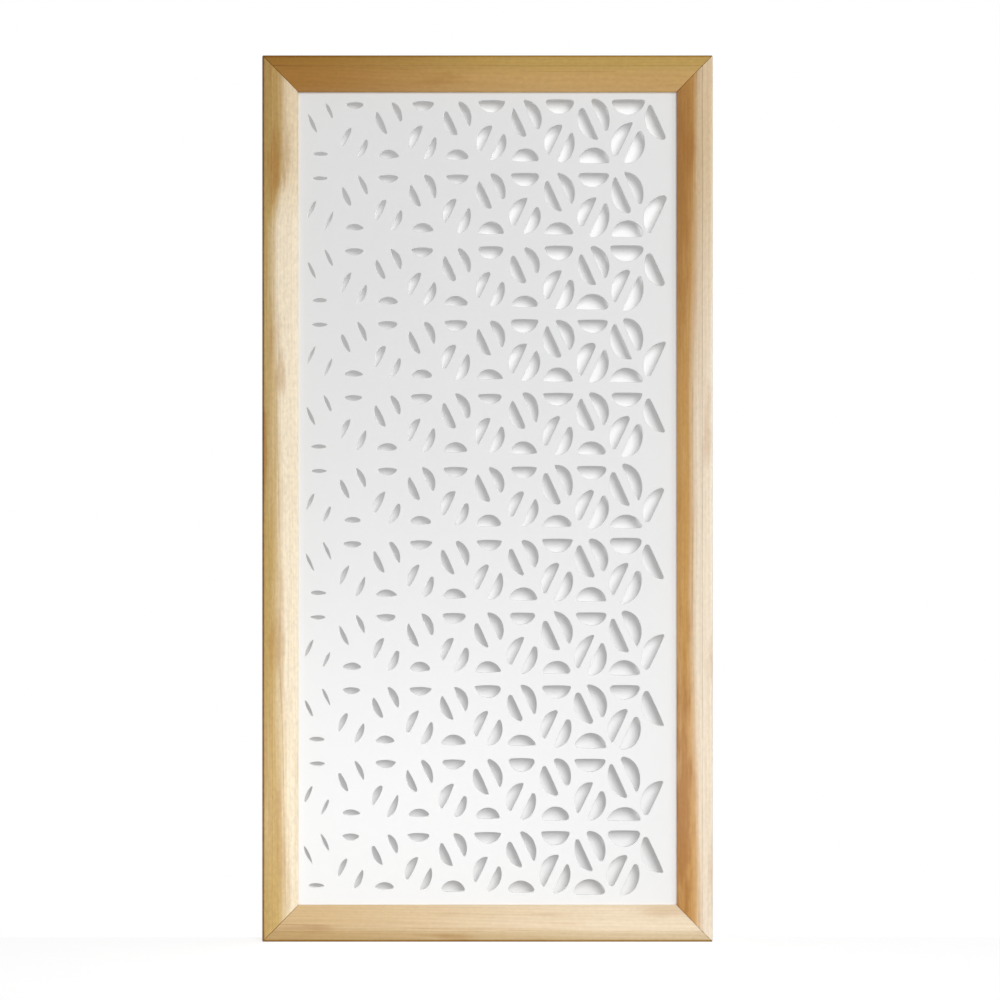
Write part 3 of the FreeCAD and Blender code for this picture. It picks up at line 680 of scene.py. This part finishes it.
def outline_fields(tree, sizes):
    """The place of each grid point on its half-moon: x across, y up the sheet, z towards the front."""
    known = {name: tree.node("GeometryNodeInputNamedAttribute", {"data_type": "FLOAT"}, {"Name": name})
             for name in (*KEPT, "sample", "ring")}
    sample, ring, crown, belly = (known[name] for name in ("sample", "ring", "crown", "belly"))
    second = sample < HALF_SAMPLES + 0.5
    sign = 2 * second - 1
    turn = HALF_SAMPLES * (1 - abs(1 - sample / HALF_SAMPLES))
    end_radius = known["first_end"] + second * (known["second_end"] - known["first_end"])
    reach = known["half_length"] - sign * known["apex"]
    crown_radius = (reach * reach + crown * crown) / (2 * crown)
    belly_radius = (reach * reach + belly * belly) / (2 * belly)
    crown_rise, belly_rise = crown - crown_radius, belly_radius - belly
    crown_span, belly_span = crown_radius - end_radius, belly_radius - end_radius
    squares = crown_span * crown_span - belly_span * belly_span
    squares = squares + belly_rise * belly_rise - crown_rise * crown_rise
    end_rise = squares / (2 * (belly_rise - crown_rise))
    above = end_rise - crown_rise
    end_run = sample.math("SQRT", crown_span * crown_span - above * above)
    on_crown_from = sample.math("ARCTAN2", above, end_run)
    on_belly_to = sample.math("ARCTAN2", end_rise - belly_rise, end_run)

    def part(begin, finish):
        return sample.math("MINIMUM", 1, sample.math("MAXIMUM", 0, (turn - begin) / (finish - begin)))

    crown_start = BELLY_SAMPLES + END_SAMPLES
    angle = (on_belly_to + QUARTER) * part(0, BELLY_SAMPLES) - QUARTER
    angle = angle + (on_crown_from - on_belly_to) * part(BELLY_SAMPLES, crown_start)
    angle = angle + (QUARTER - on_crown_from) * part(crown_start, HALF_SAMPLES)
    cosine, sine = sample.math("COSINE", angle), sample.math("SINE", angle)
    on_belly, on_crown = turn < BELLY_SAMPLES + 0.5, turn > crown_start + 0.5
    rim, thickness = sizes["Rim"], sizes["Thickness"]
    eased = rim * ((ring < 0.5) + (ring > RINGS - 1.5))
    radius = end_radius + on_belly * (belly_radius - end_radius)
    radius = radius + on_crown * (crown_radius - end_radius) + eased
    centre_rise = end_rise + on_belly * (belly_rise - end_rise) + on_crown * (crown_rise - end_rise)
    run = known["apex"] + sign * (end_run * (1 - on_belly - on_crown) + radius * cosine)
    rise = centre_rise + radius * sine
    depth = rim * (ring > 0.5) + (thickness - 2 * rim) * (ring > 1.5) + rim * (ring > 2.5)
    x = known["middle_x"] + known["along_x"] * run - known["along_y"] * rise
    y = known["middle_y"] + known["along_y"] * run + known["along_x"] * rise - sizes["Middle"]
    tilt_x, tilt_y = x.math("COSINE", sizes["Tilt"]), x.math("SINE", sizes["Tilt"])
    askew_x, askew_y = tilt_x * x + tilt_y * y, tilt_x * y - tilt_y * x
    return tree.join(askew_x, sizes["Middle"] + askew_y, -1 * depth), ring


print("points round an outline", 2 * HALF_SAMPLES)

# %% [markdown]
# The sheet is joined from the wrapped strips, a filled face at the front and another at the rear, and its
# four narrow sides. A Boolean for each opening would be slow and would spoil the shading, so nothing is cut.

# %% Sheet tree
def new_tree(name, inputs):
    """An empty geometry tree with named inputs, and a wire for each of them."""
    nodes = bpy.data.node_groups.new(name, "GeometryNodeTree")
    nodes.interface.new_socket("Geometry", in_out="OUTPUT", socket_type="NodeSocketGeometry")
    for label, kind in inputs.items():
        nodes.interface.new_socket(label, in_out="INPUT", socket_type=f"NodeSocket{kind}")
    tree = Tree(nodes)
    group_input = nodes.nodes.new("NodeGroupInput")
    return tree, {label: Wire(tree, group_input.outputs[label]) for label in inputs}


def pierced_sheet_tree():
    """Lattice points, a wrapped strip on each, and flat faces between the strips and the sheet's edge."""
    sizes_kinds = dict.fromkeys(("Column pitch", "Level pitch", "First column", "First level", "Tilt", "Rim",
                                 "Thickness", "Width", "Height", "Middle", "Front"), "Float")
    tree, sizes = new_tree("pierced_sheet", {**sizes_kinds, "Finish": "Material"})
    points = tree.node("GeometryNodePoints", sockets={"Count": LATTICE_POINTS})
    fields, left_out = lattice_fields(tree, sizes)
    for name, field in fields.items():
        points = tree.node("GeometryNodeStoreNamedAttribute", {"data_type": "FLOAT", "domain": "POINT"},
                           {"Geometry": points, "Name": name, "Value": field})
    points = tree.node("GeometryNodeDeleteGeometry", {"domain": "POINT"},
                       {"Geometry": points, "Selection": left_out > 0.5})

    strip = tree.node("GeometryNodeMeshGrid", sockets={
        "Size X": RINGS - 1.0, "Size Y": 2.0 * HALF_SAMPLES, "Vertices X": RINGS,
        "Vertices Y": 2 * HALF_SAMPLES + 1})
    grid_x, grid_y, _ = tree.split(tree.node("GeometryNodeInputPosition"))
    for name, field in (("ring", grid_x + (RINGS - 1) / 2), ("sample", grid_y + HALF_SAMPLES)):
        strip = tree.node("GeometryNodeStoreNamedAttribute", {"data_type": "FLOAT", "domain": "POINT"},
                          {"Geometry": strip, "Name": name, "Value": field})
    strips = tree.node("GeometryNodeInstanceOnPoints", sockets={"Points": points, "Instance": strip})
    strips = tree.node("GeometryNodeRealizeInstances", sockets={"Geometry": strips})
    place, ring = outline_fields(tree, sizes)
    strips = tree.node("GeometryNodeSetPosition", sockets={"Geometry": strips, "Position": place})
    strips = tree.node("GeometryNodeMergeByDistance", sockets={"Geometry": strips, "Distance": 1e-6})
    strips = tree.node("GeometryNodeSetShadeSmooth", sockets={"Geometry": strips, "Shade Smooth": True})

    def moved(shape, x, y, z, **turn):
        return tree.node("GeometryNodeTransform",
                         sockets={"Geometry": shape, "Translation": tree.join(x, y, z), **turn})

    edge = tree.node("GeometryNodeCurvePrimitiveQuadrilateral", {"mode": "RECTANGLE"},
                     {"Width": sizes["Width"], "Height": sizes["Height"]})
    edge = moved(edge, 0.0, sizes["Middle"], 0.0)

    def face(on_ring, lift):
        loops = tree.node("GeometryNodeMeshToCurve", sockets={"Mesh": strips, "Selection": on_ring})
        both = tree.node("GeometryNodeJoinGeometry", sockets={"Geometry": [loops, edge]})
        filled = moved(tree.node("GeometryNodeFillCurve", sockets={"Curve": both}), 0.0, 0.0, lift)
        return tree.node("GeometryNodeSetShadeSmooth", sockets={"Geometry": filled, "Shade Smooth": False})

    front = face(ring < 0.25, 0.0)
    rear = face(ring > RINGS - 1.25, -1 * sizes["Thickness"])
    rear = tree.node("GeometryNodeFlipFaces", sockets={"Mesh": rear})
    block_size = tree.join(sizes["Width"], sizes["Height"], sizes["Thickness"])
    block = tree.node("GeometryNodeMeshCube", sockets={"Size": block_size})
    block = moved(block, 0.0, sizes["Middle"], sizes["Thickness"] / -2)
    facing = tree.split(tree.node("GeometryNodeInputNormal"))[2]
    sides = tree.node("GeometryNodeDeleteGeometry", {"domain": "FACE"},
                      {"Geometry": block, "Selection": abs(facing) > 0.5})
    sides = tree.node("GeometryNodeSetShadeSmooth", sockets={"Geometry": sides, "Shade Smooth": False})
    whole = tree.node("GeometryNodeJoinGeometry", sockets={"Geometry": [strips, front, rear, sides]})
    whole = tree.node("GeometryNodeMergeByDistance", sockets={"Geometry": whole, "Distance": 2e-6})
    whole = moved(whole, 0.0, sizes["Front"], 0.0, Rotation=(QUARTER, 0, 0))
    whole = tree.node("GeometryNodeRealizeInstances", sockets={"Geometry": whole})
    whole = tree.node("GeometryNodeSetMaterial", sockets={"Geometry": whole, "Material": sizes["Finish"]})
    tree.node("NodeGroupOutput", sockets={"Geometry": whole})
    return tree.nodes


SHEET_TREE = pierced_sheet_tree()
print("sheet tree", len(SHEET_TREE.nodes), "nodes")

# %% [markdown]
# A tree only becomes a piece when it is run on an object. The sizes go in by each socket's identifier, the
# result is kept as a plain mesh, and its scratch attributes are taken off. A volume and a count of open
# edges show that the sheet is closed.

# %% Pierced sheet
LEFT_MARGIN, RIGHT_MARGIN, TOP_MARGIN = 0.0273, 0.0227, 0.002
LEVELS_IN_SIGHT, PATTERN_TILT, SHEET_RIM = 16.65, math.radians(0.34), 0.0005


def grown(name, nodes, values):
    """Run a geometry tree on its own, and keep the result as a plain mesh object."""
    seedling = bpy.data.objects.new(f"{name}_seedling", bpy.data.meshes.new(f"{name}_seedling"))
    scene.collection.objects.link(seedling)
    modifier = seedling.modifiers.new("rule", "NODES")
    modifier.node_group = nodes
    for item in nodes.interface.items_tree:
        if item.in_out == "INPUT":
            modifier[item.identifier] = values[item.name]
    mesh = bpy.data.meshes.new_from_object(seedling.evaluated_get(bpy.context.evaluated_depsgraph_get()))
    mesh.name = name
    seedling.modifiers.remove(modifier)
    bpy.data.objects.remove(seedling)
    piece = bpy.data.objects.new(name, mesh)
    scene.collection.objects.link(piece)
    return piece


sheet_low, sheet_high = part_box("pierced_panel")
sheet = grown("white_pierced_sheet", SHEET_TREE, {
    "Column pitch": (RIGHT - LEFT - 2 * RAIL_FACE - LEFT_MARGIN - RIGHT_MARGIN) / COLUMNS,
    "Level pitch": (HEAD - FOOT - 2 * RAIL_FACE) / LEVELS_IN_SIGHT,
    "First column": LEFT + RAIL_FACE + LEFT_MARGIN, "First level": HEAD - RAIL_FACE - TOP_MARGIN,
    "Tilt": PATTERN_TILT, "Rim": SHEET_RIM, "Thickness": sheet_high.y - sheet_low.y,
    "Width": sheet_high.x - sheet_low.x, "Height": sheet_high.z - sheet_low.z,
    "Middle": (sheet_high.z + sheet_low.z) / 2, "Front": sheet_low.y, "Finish": sheet_finish,
})
for name in (*KEPT, "sample", "ring"):
    sheet.data.attributes.remove(sheet.data.attributes[name])
bm = bmesh.new()
bm.from_mesh(sheet.data)
bmesh.ops.recalc_face_normals(bm, faces=bm.faces)
loose = sum(not edge.is_manifold for edge in bm.edges)
print("sheet: open edges", loose, "volume, litres", round(bm.calc_volume() * 1000, 4))
bm.to_mesh(sheet.data)
bm.free()
dress(sheet, "frame", "white_sheet", "pierced_panel")

# %% [markdown]
# The small fittings are turned or bent metal, and the pads are dark soft plastic. Plating is never one
# even grey, so patches, brushing and pits vary its colour and its gloss.

# %% Metal and pad finishes
def metal(name, dark, bright, rough, dulling):
    """Worn plating: brushed a little along the piece, with dull patches and fine pits."""
    material, tree, shader = new_finish(name)
    place = x, y, z = tree.place()
    patches = tree.speckle(place, 0.004, 3.0)
    brushing = tree.noise(tree.join(x / 0.00012, y / 0.0006, z / 0.003), 2.0)
    pits = tree.step(tree.speckle(place, 0.0004, 1.0), 0.68, 0.76)
    tone = tree.mix(patches * 0.7 + brushing * 0.3 - pits * 0.2, dark, bright)
    tree.feed(tone, shader.inputs["Base Color"])
    tree.feed(rough + patches * dulling + brushing * 0.12 + pits * 0.15, shader.inputs["Roughness"])
    tree.roughen(shader, brushing * 0.4 - pits, strength=0.2, distance=0.00005)
    shader.inputs["Metallic"].default_value = 1.0
    return material


def soft_pad():
    material, tree, shader = new_finish("soft_pad")
    place = tree.place()
    bloom = tree.speckle(place, 0.003, 3.0)
    grain = tree.speckle(place, 0.0004, 2.0)
    tone = tree.mix(bloom * 0.7 + grain * 0.3, colour(0.035, 0.034, 0.033), colour(0.075, 0.072, 0.068))
    tree.feed(tone, shader.inputs["Base Color"])
    tree.feed(0.55 + bloom * 0.3, shader.inputs["Roughness"])
    tree.roughen(shader, grain, strength=0.3, distance=0.0001)
    return material


plated = metal("plated_steel", colour(0.46, 0.46, 0.45), colour(0.66, 0.66, 0.64), 0.22, 0.16)
bright = metal("bright_steel", colour(0.40, 0.39, 0.38), colour(0.58, 0.57, 0.55), 0.30, 0.2)
pad_finish = soft_pad()
print("finishes", plated.name, bright.name, pad_finish.name)

# %% [markdown]
# A lathe helper makes the turned fittings from half a section. Brads, nails, screws and pads all stand in
# straight rows, so one geometry tree sets copies of a fitting along a line. An Array modifier would do for
# one row, but a tree takes its count, step and turn as inputs, and serves them all.

# %% Lathe and rows
def turned(name, half_section, material, steps=24):
    """A solid of revolution about Z, from (radius, height) points in millimetres that start and end on Z."""
    bm = bmesh.new()
    rings = []
    for radius, height in half_section:
        turns = [2 * math.pi * step / steps for step in range(steps if radius else 1)]
        rings.append([bm.verts.new(Vector((radius * math.cos(turn), radius * math.sin(turn), height)) / 1000)
                      for turn in turns])
    for lower, upper in zip(rings, rings[1:]):
        for index in range(steps):
            corners = [lower[index % len(lower)], lower[(index + 1) % len(lower)],
                       upper[(index + 1) % len(upper)], upper[index % len(upper)]]
            bm.faces.new(dict.fromkeys(corners))
    return finish_mesh(name, bm, material)


def row_tree():
    """Copies of one fitting along a line, all turned the same way."""
    tree, sizes = new_tree("fitting_row", {"Fitting": "Object", "Count": "Int", "Start": "Vector",
                                           "Step": "Vector", "Turn": "Rotation", "Finish": "Material"})
    line = tree.node("GeometryNodeMeshLine", {"mode": "OFFSET"},
                     {"Count": sizes["Count"], "Start Location": sizes["Start"], "Offset": sizes["Step"]})
    fitting = tree.node("GeometryNodeObjectInfo", sockets={"Object": sizes["Fitting"]}, out="Geometry")
    copies = tree.node("GeometryNodeInstanceOnPoints",
                       sockets={"Points": line, "Instance": fitting, "Rotation": sizes["Turn"]})
    whole = tree.node("GeometryNodeRealizeInstances", sockets={"Geometry": copies})
    whole = tree.node("GeometryNodeSetMaterial", sockets={"Geometry": whole, "Material": sizes["Finish"]})
    tree.node("NodeGroupOutput", sockets={"Geometry": whole})
    return tree.nodes


FITTING_ROW = row_tree()


def rows(name, fitting, finish, lines):
    """One object from several rows of a fitting. A line is its count, start, step and turn."""
    bm = bmesh.new()
    for count, start, step, turn in lines:
        part = grown(f"{name}_row", FITTING_ROW, {"Fitting": fitting, "Count": count, "Start": start,
                                                  "Step": step, "Turn": turn, "Finish": finish})
        bm.from_mesh(part.data)
        bpy.data.meshes.remove(part.data)
    bpy.data.objects.remove(fitting)
    return finish_mesh(name, bm, finish)


print("row tree inputs", [item.name for item in FITTING_ROW.interface.items_tree])

# %% [markdown]
# Brads pin the beads to the rails, evenly spaced along each bead. They are driven from the inside, so that
# only their small heads show, and each side is one row of a turned nail.

# %% Brads
BRADS_ACROSS, BRADS_UP, BRAD_MARGIN = 4, 7, 0.07
BRAD_INSET, BRAD_DEPTH = 0.04748, -0.006
TURNS = {"bottom": (0, 0, 0), "right": (0, -QUARTER, 0), "top": (math.pi, 0, 0), "left": (0, QUARTER, 0)}
BRAD = [(0, -9), (0.7, -8), (0.7, -0.9), (1.3, -0.12), (1.2, 0), (0.5, 0.02), (0, 0.02)]
brad_lines = []
for side in SIDES:
    count = BRADS_ACROSS if side in ("bottom", "top") else BRADS_UP
    half = ((RIGHT - LEFT) if side in ("bottom", "top") else (HEAD - FOOT)) / 2 - BRAD_MARGIN
    start, end = (Vector(side_point(side, along, BRAD_INSET, BRAD_DEPTH)) for along in (-half, half))
    brad_lines.append((count, start, (end - start) / (count - 1), TURNS[side]))
brads = rows("bead_brad_heads", turned("brad", BRAD, bright, 16), bright, brad_lines)
dress(brads, "frame", "bright_steel", "bead_brads")

# %% [markdown]
# Two V-nails are pressed into the back of each mitre and hold the corner. Only their tops show, flush with
# the timber. A nail is a bent strip, so its outline is drawn and given a depth, and a row of two follows
# each mitre.

# %% V-nails
NAIL_START, NAIL_STEP = 0.012, 0.014
NAIL_LEG, NAIL_GAUGE, NAIL_DEPTH = 0.006, 0.0008, 0.006


def v_nail(leg, gauge, depth):
    """A bent strip, seen end on as a V, with its apex at the origin and its top at y = 0."""
    outline = [(0, 0), (leg, 0), (leg, gauge), (gauge, gauge), (gauge, leg), (0, leg)]
    bm = bmesh.new()
    top = [bm.verts.new((x, 0, z)) for x, z in outline]
    foot = [bm.verts.new((x, -depth, z)) for x, z in outline]
    skin(bm, [top, foot])
    return finish_mesh("v_nail", bm, bright)


nail_lines = []
for x_end, z_end, turn in ((LEFT, FOOT, 0), (RIGHT, FOOT, -1), (RIGHT, HEAD, 2), (LEFT, HEAD, 1)):
    inward = Vector((math.copysign(1, -x_end), 0, 1 if z_end == FOOT else -1))
    start = Vector((x_end, BACK, z_end)) + inward * NAIL_START
    nail_lines.append((2, start, inward * NAIL_STEP, (0, turn * QUARTER, 0)))
nails = rows("mitre_v_nails", v_nail(NAIL_LEG, NAIL_GAUGE, NAIL_DEPTH), bright, nail_lines)
CORNERS = ("bottom_left", "bottom_right", "top_right", "top_left")
dress(nails, "frame", "bright_steel", *(f"{corner}_v_nails" for corner in CORNERS))

# %% [markdown]
# Four soft pads keep the back off the wall. Each is turned with a rounded rim, like the moulded ones it
# stands for, and each stile carries a row of two.

# %% Bumpers
PAD = [(0, 0), (8.7, 0), (9, 0.3), (8.9, 1.2), (8.15, 5.1), (7.7, 5.75), (6.9, 6), (0, 6)]
STILE_MIDDLE, PAD_MARGIN, PAD_SINK = RIGHT - 0.019, 0.075, 0.00005
pad_step = Vector((0, 0, HEAD - FOOT - 2 * PAD_MARGIN))
pad_lines = [(2, Vector((x, BACK - PAD_SINK, FOOT + PAD_MARGIN)), pad_step, (-QUARTER, 0, 0))
             for x in (-STILE_MIDDLE, STILE_MIDDLE)]
pads = rows("wall_bumpers", turned("pad", PAD, pad_finish, 40), pad_finish, pad_lines)
dress(pads, "frame", "soft_pad", *(f"{corner}_bumper" for corner in CORNERS))

# %% [markdown]
# Each hanger is a strap of sheet steel that is rolled into an eye at its top, two pan-head screws, and a
# bent wire ring that swings in the eye. A flat plate with a Simple Deform bend would roll the whole strap,
# so the strap's line is drawn from the side, up the stile and round the eye, and a strip follows it.

# %% Straps
EYE_Y, EYE_Z = BACK + 0.0028, 0.92
GAUGE, STRAP_HALF, STRAP_FOOT, END_ROUND = 0.001, 0.006, 0.877, 0.004
END_STEPS, HALF_TURN_STEPS, EYE_STEPS = 6, 16, 26
STRAP_CREASE, STRAP_EASE = 0.7, 0.00015


def hanger_strap(name, x):
    """A strip that follows the strap's line: up the stile's back, and round the eye."""
    mean = EYE_Y - BACK - GAUGE / 2
    end_turns = [step * QUARTER / END_STEPS for step in range(END_STEPS + 1)]
    eye_turns = [math.pi * (1 - step / HALF_TURN_STEPS) for step in range(1, EYE_STEPS + 1)]
    path = [(BACK + GAUGE / 2, STRAP_FOOT + END_ROUND * (1 - math.cos(turn)),
             STRAP_HALF - END_ROUND * (1 - math.sin(turn))) for turn in end_turns]
    path += [(BACK + GAUGE / 2, EYE_Z, STRAP_HALF)]
    path += [(EYE_Y + mean * math.cos(turn), EYE_Z + mean * math.sin(turn), STRAP_HALF) for turn in eye_turns]
    bm = bmesh.new()
    rings = []
    for index, (y, z, half) in enumerate(path):
        before, after = path[max(index - 1, 0)], path[min(index + 1, len(path) - 1)]
        along = Vector((0, after[0] - before[0], after[1] - before[1])).normalized()
        out = Vector((0, along.z, -along.y)) * (GAUGE / 2)
        middle = Vector((x, y, z))
        rings.append([bm.verts.new(middle + Vector((reach, 0, 0)) + lift)
                      for reach, lift in ((-half, -out), (half, -out), (half, out), (-half, out))])
    skin(bm, rings)
    bmesh.ops.recalc_face_normals(bm, faces=bm.faces)
    sharp = [edge for edge in bm.edges if len(edge.link_faces) == 2 and edge.calc_face_angle() > STRAP_CREASE]
    bmesh.ops.bevel(bm, geom=sharp, offset=STRAP_EASE, segments=2, affect="EDGES", profile=0.5)
    return finish_mesh(name, bm, plated)


HANDS = (("left", -1), ("right", 1))
for hand, sign in HANDS:
    strap = hanger_strap(f"{hand}_strap", sign * STILE_MIDDLE)
    dress(strap, "frame", "plated_steel", f"{hand}_hanger_strap")

# %% [markdown]
# Two pan-head screws hold each strap. The head is turned like the pads. A lathe can't make the cross recess,
# so a Boolean cuts it once, before the copies are made.

# %% Screws
SCREW_DROPS, SCREW_TURN = (0.024, 0.035), 0.3
SCREW = [(0, -3), (1.7, -3), (1.75, 0), (3.45, 0), (3.5, 0.3), (3.4, 0.85), (3.1, 1.4), (2.5, 1.8),
         (1.6, 1.98), (0, 2.0)]
RECESS_WIDTH, RECESS_LENGTH, RECESS_TAPER = 0.8, 3.8, 0.55
RECESS_TOP, RECESS_FLOOR = 0.0021, 0.0009


def pan_head_screw():
    """A turned head and a short shank, with a cross recess cut by a Boolean."""
    screw = turned("screw", SCREW, plated, 32)
    bm = bmesh.new()
    for width, length in ((RECESS_WIDTH, RECESS_LENGTH), (RECESS_LENGTH, RECESS_WIDTH)):
        for vertex in bmesh.ops.create_cube(bm, size=0.001)["verts"]:
            x, y, z = vertex.co
            taper, level = (1, RECESS_TOP) if z > 0 else (RECESS_TAPER, RECESS_FLOOR)
            vertex.co = (x * width * taper, y * length * taper, level)
    cutter = finish_mesh("recess", bm, plated)
    cut = screw.modifiers.new("recess", "BOOLEAN")
    cut.object, cut.operation, cut.solver, cut.use_self = cutter, "DIFFERENCE", "EXACT", True
    mesh = bpy.data.meshes.new_from_object(screw.evaluated_get(bpy.context.evaluated_depsgraph_get()))
    screw.modifiers.remove(cut)
    screw.data = mesh
    bpy.data.objects.remove(cutter)
    return screw


step = Vector((0, 0, SCREW_DROPS[0] - SCREW_DROPS[1]))
screw_lines = [(2, Vector((x, BACK + GAUGE, EYE_Z - SCREW_DROPS[0])), step, (-QUARTER, SCREW_TURN, 0))
               for x in (-STILE_MIDDLE, STILE_MIDDLE)]
screws = rows("hanger_screw_heads", pan_head_screw(), plated, screw_lines)
dress(screws, "frame", "plated_steel", "left_hanger_screws", "right_hanger_screws")

# %% [markdown]
# Each ring is a bent wire: a straight bar in the eye, two tight corners, two sides and a round bow. A curve
# with a bevel would do, but here the points are spaced by the bends, and the wire stays round in them. The
# ring rides on its own body, so it turns with the joint.

# %% Rings
WIRE_RADIUS, RING_HALF, RING_CORNER, RING_SIDE = 0.0015, 0.011, 0.004, 0.006


def ring_path():
    """The wire's line as (x, drop) points: a bar at the top, two corners, two sides and a bow."""
    def arc(x, drop, radius, begin, finish, steps):
        turns = [begin + (finish - begin) * step / steps for step in range(steps + 1)]
        return [(x + radius * math.cos(turn), drop + radius * math.sin(turn)) for turn in turns]

    flat = RING_HALF - RING_CORNER
    return (arc(flat, RING_CORNER, RING_CORNER, -QUARTER, 0, 8) + arc(0, RING_SIDE, RING_HALF, 0, math.pi, 32)
            + arc(-flat, RING_CORNER, RING_CORNER, math.pi, math.pi + QUARTER, 8))


def hanger_ring(name, x, steps=14):
    path = [Vector((x + across, EYE_Y, EYE_Z - drop)) for across, drop in ring_path()]
    depth = Vector((0, 1, 0))
    turns = [2 * math.pi * step / steps for step in range(steps)]
    bm = bmesh.new()
    rings = []
    for index, point in enumerate(path):
        along = (path[(index + 1) % len(path)] - path[index - 1]).normalized()
        out = along.cross(depth)
        rings.append([bm.verts.new(point + (out * math.cos(turn) + depth * math.sin(turn)) * WIRE_RADIUS)
                      for turn in turns])
    skin(bm, rings, closed=True)
    return finish_mesh(name, bm, plated)


for hand, sign in HANDS:
    ring = hanger_ring(f"{hand}_d_ring", sign * STILE_MIDDLE)
    dress(ring, f"{hand}_ring", "plated_steel", f"{hand}_hanger_ring")
